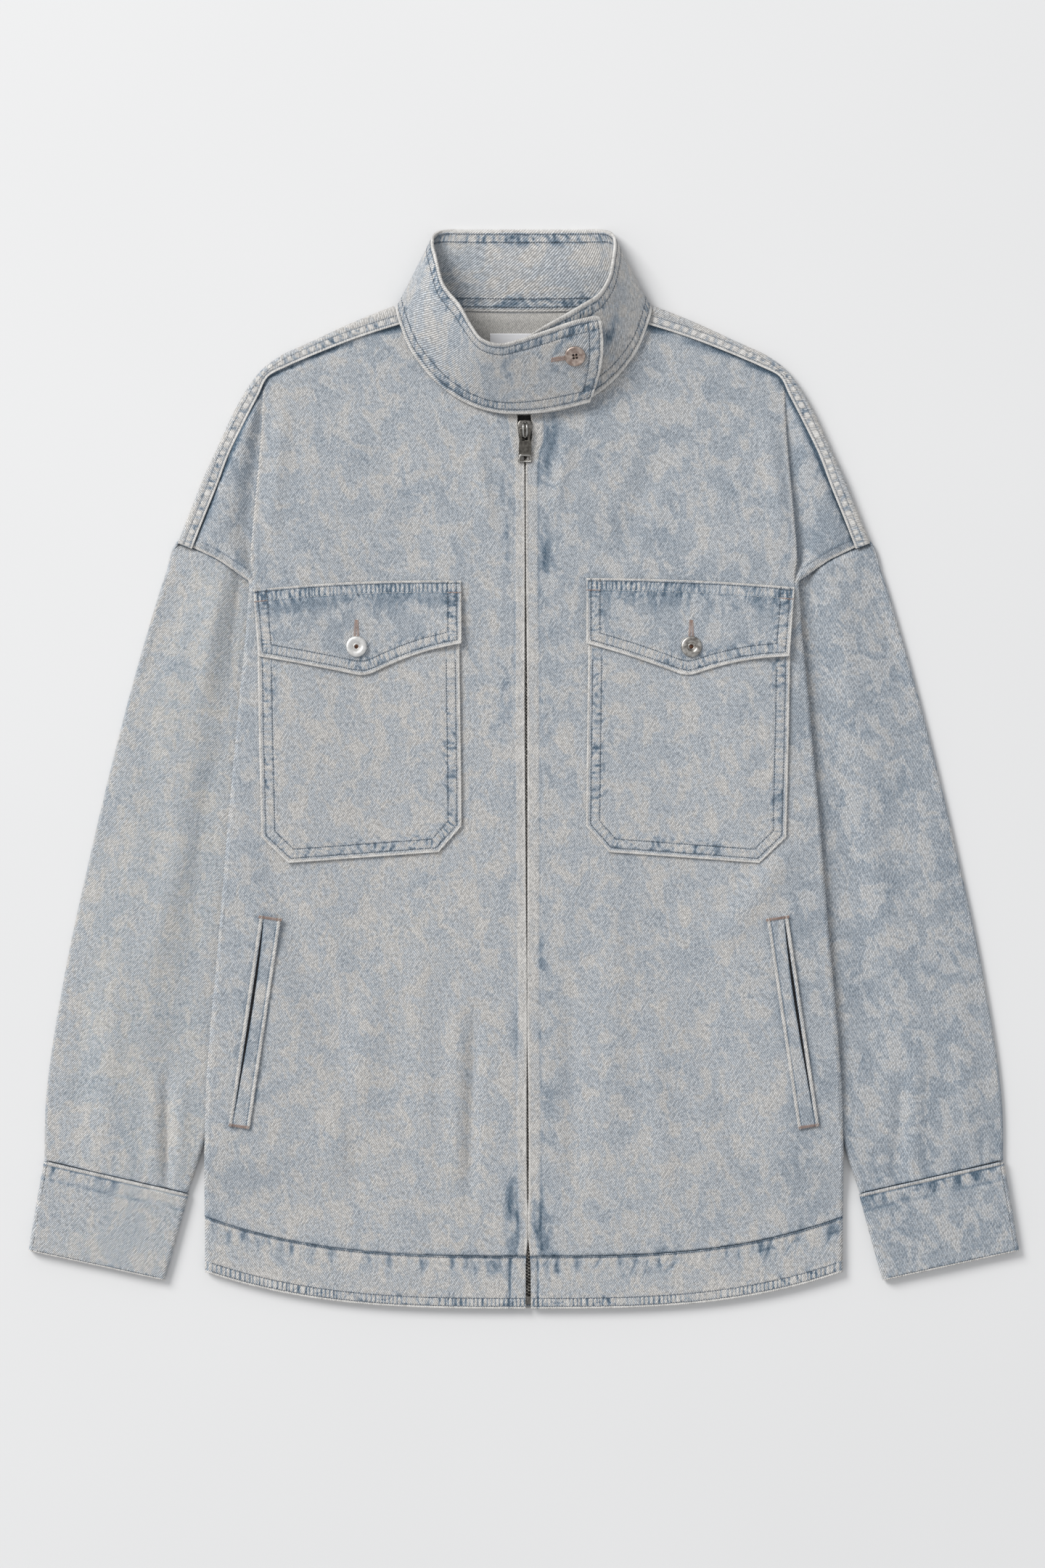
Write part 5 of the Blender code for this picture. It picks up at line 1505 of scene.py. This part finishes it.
# ---------------------------------------------------------------------------
# Buttonholes and bar tacks, whipped with tan thread: a keyhole in each flap,
# one in the collar tab, and a bar at each end of the flaps and welts.
BUTTON_AT = (131.3, 95.7)
HOLE_TOP, HOLE_LOW = 21.0, 8.0
TAB_BUTTON = (25.04, 0.60)
WHIP = 0.62


def whip_marks(surface, line, wide, lift, upward=True):
    """Close parallel threads across a line on a surface."""
    starts, ends, out = stitch_marks(surface, line, lift, upward, pitch=WHIP, cover=0.5)
    middle, along = (starts + ends) / 2, ends - starts
    across = np.cross(out, along)
    across *= wide / 2 / np.linalg.norm(across, axis=1, keepdims=True)
    lean = along / np.linalg.norm(along, axis=1, keepdims=True) * 0.3
    return middle - across - lean, middle + across + lean, out


tan_marks = []
for side in SIDE_NAMES:
    flap = panel_surface(side, lambda x, y: flap_level(side, x, y)[0], flap_relief)
    x, y = BUTTON_AT
    for aside in (-1, 1):
        line = ((x + aside * 0.6, y + HOLE_TOP), (x + aside * 1.35, y + HOLE_LOW))
        tan_marks.append(whip_marks(flap, line, 2.3, SINGLE_LIFT))
    line = inset(flap_top(side, np.linspace(1, 0, 9)), FLAP_TOP_ROWS[1])
    for end, other in (line[:2], line[:-3:-1]):
        reach = end + (other - end) * 10.5 / np.linalg.norm(other - end)
        tan_marks.append(whip_marks(flap, (end, reach), 1.1, SINGLE_LIFT + 0.1))
    for row, low, high in ((0.008, 0.04, 0.98), (0.992, -0.04, 1.06)):
        tan_marks.append(whip_marks(lambda column, row: welt_cloth(side, column, row)[0],
                                    ((low, row), (high, row)), 2.6, SINGLE_LIFT + 0.3))
station, part = TAB_BUTTON
for row in (-0.014, 0.014):
    line = ((station - 0.82, part + row + 0.02), (station - 0.32, part + row))
    tan_marks.append(whip_marks(collar_face, line, 2.1, DOUBLE_LIFT, upward=False))
sew("tan_threads", tan_marks, TAN_THREAD, thick=0.42)


# ---------------------------------------------------------------------------
# Zip. Two woven black tapes behind the front edges, a row of metal teeth on
# each, a bottom box, and a slider whose pull tab hangs from a bail.
TAPE = 1.0
SEAM = 0.3
TAPE_LEVEL = FRONT - CLOTH / 2 - SEAM - TAPE / 2
TOOTH_PITCH = 2.5
TOOTH_SIZE = (2.9, 1.35, 1.7)
TOOTH_ASIDE, TOOTH_RISE = 1.15, 0.45
BOX_Y, BOX_SIZE = -417.0, (3.6, 5.8, 2.3)
SLIDER_AT = np.array((0.9, 266.6))
SLIDER_FLOOR = TAPE_LEVEL + TAPE / 2 + SEAM
SLIDER_SIZE = (11.6, 13.4, 4.4)
HINGE_Y, HINGE_Z = 266.0, 10.9
PULL_TILT = radians(-7.0)


def metal_material(name, dark, light, rough, scale=420.0):
    """Plated metal, rubbed lighter and smoother in patches."""
    made, tree, shader, patches = textured(
        name, (rough, 1.0), "TexNoise", {"Scale": scale, "Detail": 4.0},
        ((0.36, dark), (0.64, light)), 0.00006)
    spread = node(tree, "MapRange", {"Value": patches, 3: rough * 0.75, 4: rough * 1.35}).outputs[0]
    tree.links.new(spread, shader.inputs["Roughness"])
    return made


GUNMETAL = metal_material("gunmetal", (0.10, 0.095, 0.088), (0.28, 0.265, 0.245), 0.32)
POLISHED = metal_material("polished_gunmetal", (0.42, 0.41, 0.39), (0.60, 0.59, 0.56), 0.22)
TAUPE = metal_material("taupe_gunmetal", (0.105, 0.097, 0.086), (0.20, 0.187, 0.165), 0.30)
TOOTH_METAL = metal_material("dark_teeth", (0.07, 0.066, 0.06), (0.26, 0.245, 0.225), 0.36)
TAPE_CLOTH = textured("woven_tape", (0.85, 0.0, 0.2), "TexWave", {"Scale": 420.0, "Distortion": 1.5},
                      ((0.2, (0.010, 0.010, 0.011)), (0.8, (0.035, 0.035, 0.037))), 0.0001,
                      bands_direction="Y")[0]
for name in ("zip_tape_left", "zip_tape_right"):
    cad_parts[name].data.materials.clear()
    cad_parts[name].data.materials.append(TAPE_CLOTH)


def hard_piece(name, mesh, material, node_name=None, body="garment"):
    """Piece of metal, with smooth faces."""
    mesh.polygons.foreach_set("use_smooth", [True] * len(mesh.polygons))
    add_piece(name, mesh, (material,), node_name, body)


def shaped_block(size, centre=(0, 0, 0), cuts=0, shape=None, steps=2):
    """Mesh of a block with softened edges; shape bends its points, each from -1 to 1."""
    bm = bmesh.new()
    bmesh.ops.create_cube(bm, size=2.0)
    bmesh.ops.bevel(bm, geom=bm.edges[:], offset=0.16, segments=steps, profile=0.5,
                    affect="EDGES", material=-1)
    if cuts:
        bmesh.ops.subdivide_edges(bm, edges=[edge for edge in bm.edges if edge.calc_length() > 0.8],
                                  cuts=cuts, use_grid_fill=True)
    for vert in bm.verts:
        spot = shape(*vert.co) if shape else vert.co
        vert.co = [(middle + half * wide / 2) * MM for middle, half, wide in zip(centre, spot, size)]
    mesh = bpy.data.meshes.new("block")
    bm.to_mesh(mesh)
    bm.free()
    return mesh


tooth = shaped_block(TOOTH_SIZE, steps=1)
shape = np.array([vert.co for vert in tooth.vertices]) / MM
faces = [list(face.vertices) for face in tooth.polygons]
spots, tooth_faces = [], []
tooth_low, tooth_high = ZIP_BOTTOM + 7.0, SLIDER_AT[1] - 4.0
for side in SIDE_NAMES:
    for order in range(int((tooth_high - tooth_low) / TOOTH_PITCH)):
        y = tooth_low + TOOTH_PITCH * (order + (0.5 if side > 0 else 0.0))
        centre = np.array((zip_x(y) + side * TOOTH_ASIDE, y, TAPE_LEVEL + TOOTH_RISE))
        tooth_faces += [[corner + len(shape) * len(spots) for corner in face] for face in faces]
        spots.append(shape + centre)
mesh = bpy.data.meshes.new("zip_teeth")
mesh.from_pydata((np.concatenate(spots) * MM).tolist(), [], tooth_faces)
hard_piece("zip_teeth", mesh, TOOTH_METAL)

mesh = shaped_block(BOX_SIZE, (zip_x(BOX_Y), BOX_Y, SLIDER_FLOOR + BOX_SIZE[2] / 2))
hard_piece("zip_bottom_box", mesh, GUNMETAL, "zip_box")


def slider_shape(x, y, z):
    """Shield outline with a low crown and a ridge down the middle."""
    wide = 0.74 + 0.26 * float(smooth(y, -1.0, 0.35)) - 0.20 * float(smooth(y, 0.6, 1.0))
    crown = (0.72 + 0.28 * (1 - x * x)) if z > 0 else 1.0
    return x * wide, y, z * crown


mesh = shaped_block(SLIDER_SIZE, (*SLIDER_AT, SLIDER_FLOOR + SLIDER_SIZE[2] / 2), 7, slider_shape)
hard_piece("zip_slider_body", mesh, GUNMETAL, "zip_slider")


def curve_mesh(name, loops, round_by, steps, **settings):
    """Mesh of closed loops of points: a round wire, or a plate if it has an extrusion."""
    curve = bpy.data.curves.new(name, "CURVE")
    curve.bevel_depth, curve.bevel_resolution = round_by * MM, steps
    for key, value in settings.items():
        setattr(curve, key, value)
    for points in loops:
        run = curve.splines.new("POLY")
        run.points.add(len(points) - 1)
        for point, spot in zip(run.points, points):
            point.co = (*(np.asarray(spot) * MM), 1)
        run.use_cyclic_u = True
    holder = bpy.data.objects.new(name, curve)
    bpy.context.collection.objects.link(holder)
    bpy.context.view_layer.update()
    mesh = bpy.data.meshes.new_from_object(holder.evaluated_get(bpy.context.evaluated_depsgraph_get()))
    bpy.data.objects.remove(holder, do_unlink=True)
    return mesh


BAIL_HALF, BAIL_LONG, BAIL_RISE, BAIL_THICK = 1.5, 5.7, 3.1, 1.45
around = np.linspace(0, 2 * pi, 56, endpoint=False)
bail_x = BAIL_HALF * np.sign(np.cos(around)) * np.abs(np.cos(around)) ** 0.45
bail_y = BAIL_LONG * np.sign(np.sin(around)) * np.abs(np.sin(around)) ** 0.6
bail_z = BAIL_RISE * (1 - np.abs(bail_y / BAIL_LONG) ** 3.2)
bail_points = np.stack((SLIDER_AT[0] + bail_x, HINGE_Y - 0.2 + bail_y,
                        SLIDER_FLOOR + SLIDER_SIZE[2] - 0.1 + bail_z), -1)
mesh = curve_mesh("zip_bail_loop", [bail_points], BAIL_THICK / 2, 3, dimensions="3D")
hard_piece("zip_bail_loop", mesh, POLISHED, "zip_bail")

# The pull tab has an eye that hangs on the bail, then a plate with a window near its end.
PULL_PLACE = (Matrix.Translation((SLIDER_AT[0] * MM, HINGE_Y * MM, HINGE_Z * MM))
              @ Matrix.Rotation(-PULL_TILT, 4, "X"))
PULL_HALF, PULL_NECK, PULL_END = 4.7, 4.0, 5.3
PULL_WALL, PULL_SOFT = 0.42, 0.18
PULL_LOOPS = (
    ((-PULL_NECK, 0.5, 0), (PULL_NECK, 0.5, 0), (PULL_NECK, -8.8, 0), (PULL_HALF, -10.4, 0),
     (PULL_HALF, -22.6, 0), (PULL_END, -25.6, 0), (-PULL_END, -25.6, 0), (-PULL_HALF, -22.6, 0),
     (-PULL_HALF, -10.4, 0), (-PULL_NECK, -8.8, 0)),
    ((-2.6, -0.9, 0), (2.6, -0.9, 0), (2.6, -9.0, 0), (-2.6, -9.0, 0)),
    ((-3.2, -20.9, 0), (3.2, -20.9, 0), (3.5, -24.0, 0), (-3.5, -24.0, 0)),
)
mesh = curve_mesh("pull", PULL_LOOPS, PULL_SOFT, 2, dimensions="2D", fill_mode="BOTH",
                  extrude=PULL_WALL * MM)
mesh.transform(PULL_PLACE)
hard_piece("zip_pull_tab", mesh, TAUPE, "zip_pull", body="pull_tab")
window = ((-3.9, -20.2, 0.5), (3.9, -20.2, 0.5), (4.8, -25.0, 0.5), (-4.8, -25.0, 0.5))
mesh = curve_mesh("zip_pull_frame", [window], 0.55, 3, dimensions="3D")
mesh.transform(PULL_PLACE)
hard_piece("zip_pull_frame", mesh, POLISHED, body="pull_tab")


# ---------------------------------------------------------------------------
# Buttons. The flaps close on riveted tack buttons with a turned rim and an
# open centre; the collar tab has a flat four-hole button in bronze finish.
def turned(name, profile, steps, place, out):
    """Mesh turned from a profile of (radius, height), set on the cloth."""
    bm = bmesh.new()
    verts = [bm.verts.new((radius * MM, 0, height * MM)) for radius, height in profile]
    edges = [bm.edges.new(pair) for pair in zip(verts, verts[1:])]
    bmesh.ops.spin(bm, geom=verts + edges, axis=(0, 0, 1), cent=(0, 0, 0), angle=2 * pi,
                   steps=steps, use_merge=True)
    bmesh.ops.remove_doubles(bm, verts=bm.verts, dist=0.00001)
    bmesh.ops.recalc_face_normals(bm, faces=bm.faces)
    turn = Vector(out).to_track_quat("Z", "Y").to_matrix().to_4x4()
    bmesh.ops.transform(bm, matrix=Matrix.Translation(Vector(place) * MM) @ turn, verts=bm.verts)
    mesh = bpy.data.meshes.new(name)
    bm.to_mesh(mesh)
    bm.free()
    return mesh


TACK_PROFILE = ((0, 0), (6.8, 0), (7.9, 0.4), (8.25, 1.1), (8.1, 1.8), (7.5, 2.3), (6.6, 2.5),
                (5.2, 2.45), (4.1, 2.2), (3.5, 1.7), (3.2, 1.1), (2.7, 0.95), (2.35, 1.1),
                (2.25, 1.7), (2.0, 1.75), (1.7, 1.4), (1.5, 0.5), (0.8, 0.3), (0, 0.3))
BRIGHT_NICKEL = metal_material("bright_nickel", (0.76, 0.75, 0.73), (0.90, 0.89, 0.87), 0.42)
COPPER = metal_material("copper_core", (0.05, 0.028, 0.02), (0.22, 0.11, 0.07), 0.45, 900.0)
# The left tack button is bright nickel and the right one a darker nickel.
DARKER_NICKEL = metal_material("darker_nickel", (0.22, 0.205, 0.19), (0.62, 0.60, 0.56), 0.36, 300.0)
for (side, name), finish in zip(SIDE_NAMES.items(), (BRIGHT_NICKEL, DARKER_NICKEL)):
    x, y = BUTTON_AT
    seat = flap_level(side, np.array(x), np.array(y))[0] + CLOTH / 2 + 0.25
    mesh = turned("button_" + name, TACK_PROFILE, 40, (side * x, y, float(seat)), (0, 0, 1))
    hard_piece("tack_button_" + name, mesh, finish, "button_" + name)
    core = turned("core", ((0, 0), (1.75, 0), (1.6, 0.35), (0.9, 0.5), (0, 0.5)), 20,
                  (side * x, y, float(seat) + 0.4), (0, 0, 1))
    hard_piece("tack_core_" + name, core, COPPER)

ROUND_PROFILE = ((0, 0), (6.8, 0), (7.9, 0.5), (8.2, 1.2), (7.9, 1.9), (7.1, 2.2), (6.3, 1.95),
                 (5.6, 1.55), (4.6, 1.4), (0, 1.4))
BRONZE = metal_material("bronze", (0.36, 0.27, 0.23), (0.68, 0.57, 0.50), 0.40, 340.0)
at = [np.array(place) for place in TAB_BUTTON]
out = outward(collar_middle, *at)
base = collar_middle(*at) + out * (DOUBLE / 2 + 0.5)
mesh = turned("button_collar", ROUND_PROFILE, 40, base, out)
hard_piece("collar_button", mesh, BRONZE, "button_collar")
turn = Vector(out).to_track_quat("Z", "Y").to_matrix()
# Dark discs on the button stand for its four holes: painted shade.
hole_shade_finish = metal_material("painted_hole_shade", (0.02, 0.018, 0.016), (0.06, 0.05, 0.045), 0.7)
HOLE_OUT, HOLE_UP = 1.75, 1.15
hole_parts = []
for quarter in range(4):
    angle = pi / 4 + quarter * pi / 2
    offset = turn @ Vector((cos(angle) * HOLE_OUT, sin(angle) * HOLE_OUT, HOLE_UP))
    hole_parts.append(turned("hole", ((0, 0), (0.75, 0), (0.95, 0.33), (0.72, 0.42), (0, 0.42)), 12,
                             Vector(base) + offset, out))
hard_piece("collar_button_holes", joined("holes", hole_parts), hole_shade_finish)


# ---------------------------------------------------------------------------
# Neck label. A blank white woven label, stitched inside the back of the neck.
LABEL_AT, LABEL_SIZE = np.array((-9.7, 333.0)), np.array((34.0, 18.0))


def label_cloth(column, row):
    x = LABEL_AT[0] + LABEL_SIZE[0] * (column - 0.5)
    y = LABEL_AT[1] + LABEL_SIZE[1] * (row - 0.5)
    z = FLOOR + CLOTH / 2 + SEAM + TAPE / 2 + 0.25 * bump(column, 0.5, 0.4) * bump(row, 0.5, 0.4)
    flat = np.stack((x + 6000, y), -1)
    return np.stack((x, y, z), -1), flat, 0 * x, 0 * x


LABEL_SATIN = textured("label_satin", (0.55, 0.0, 0.35), "TexWave", {"Scale": 560.0, "Distortion": 0.8},
                       ((0.1, (0.72, 0.72, 0.74)), (0.9, (0.79, 0.79, 0.80))), 0.00006,
                       on_cloth=True, bands_direction="Y")[0]
label_mesh = cloth_mesh("neck_label", np.linspace(0, 1, 35), np.linspace(0, 1, 19), label_cloth)
label = add_piece("woven_label", label_mesh, (LABEL_SATIN,), "neck_label", wall=0.6)


bpy.context.view_layer.update()
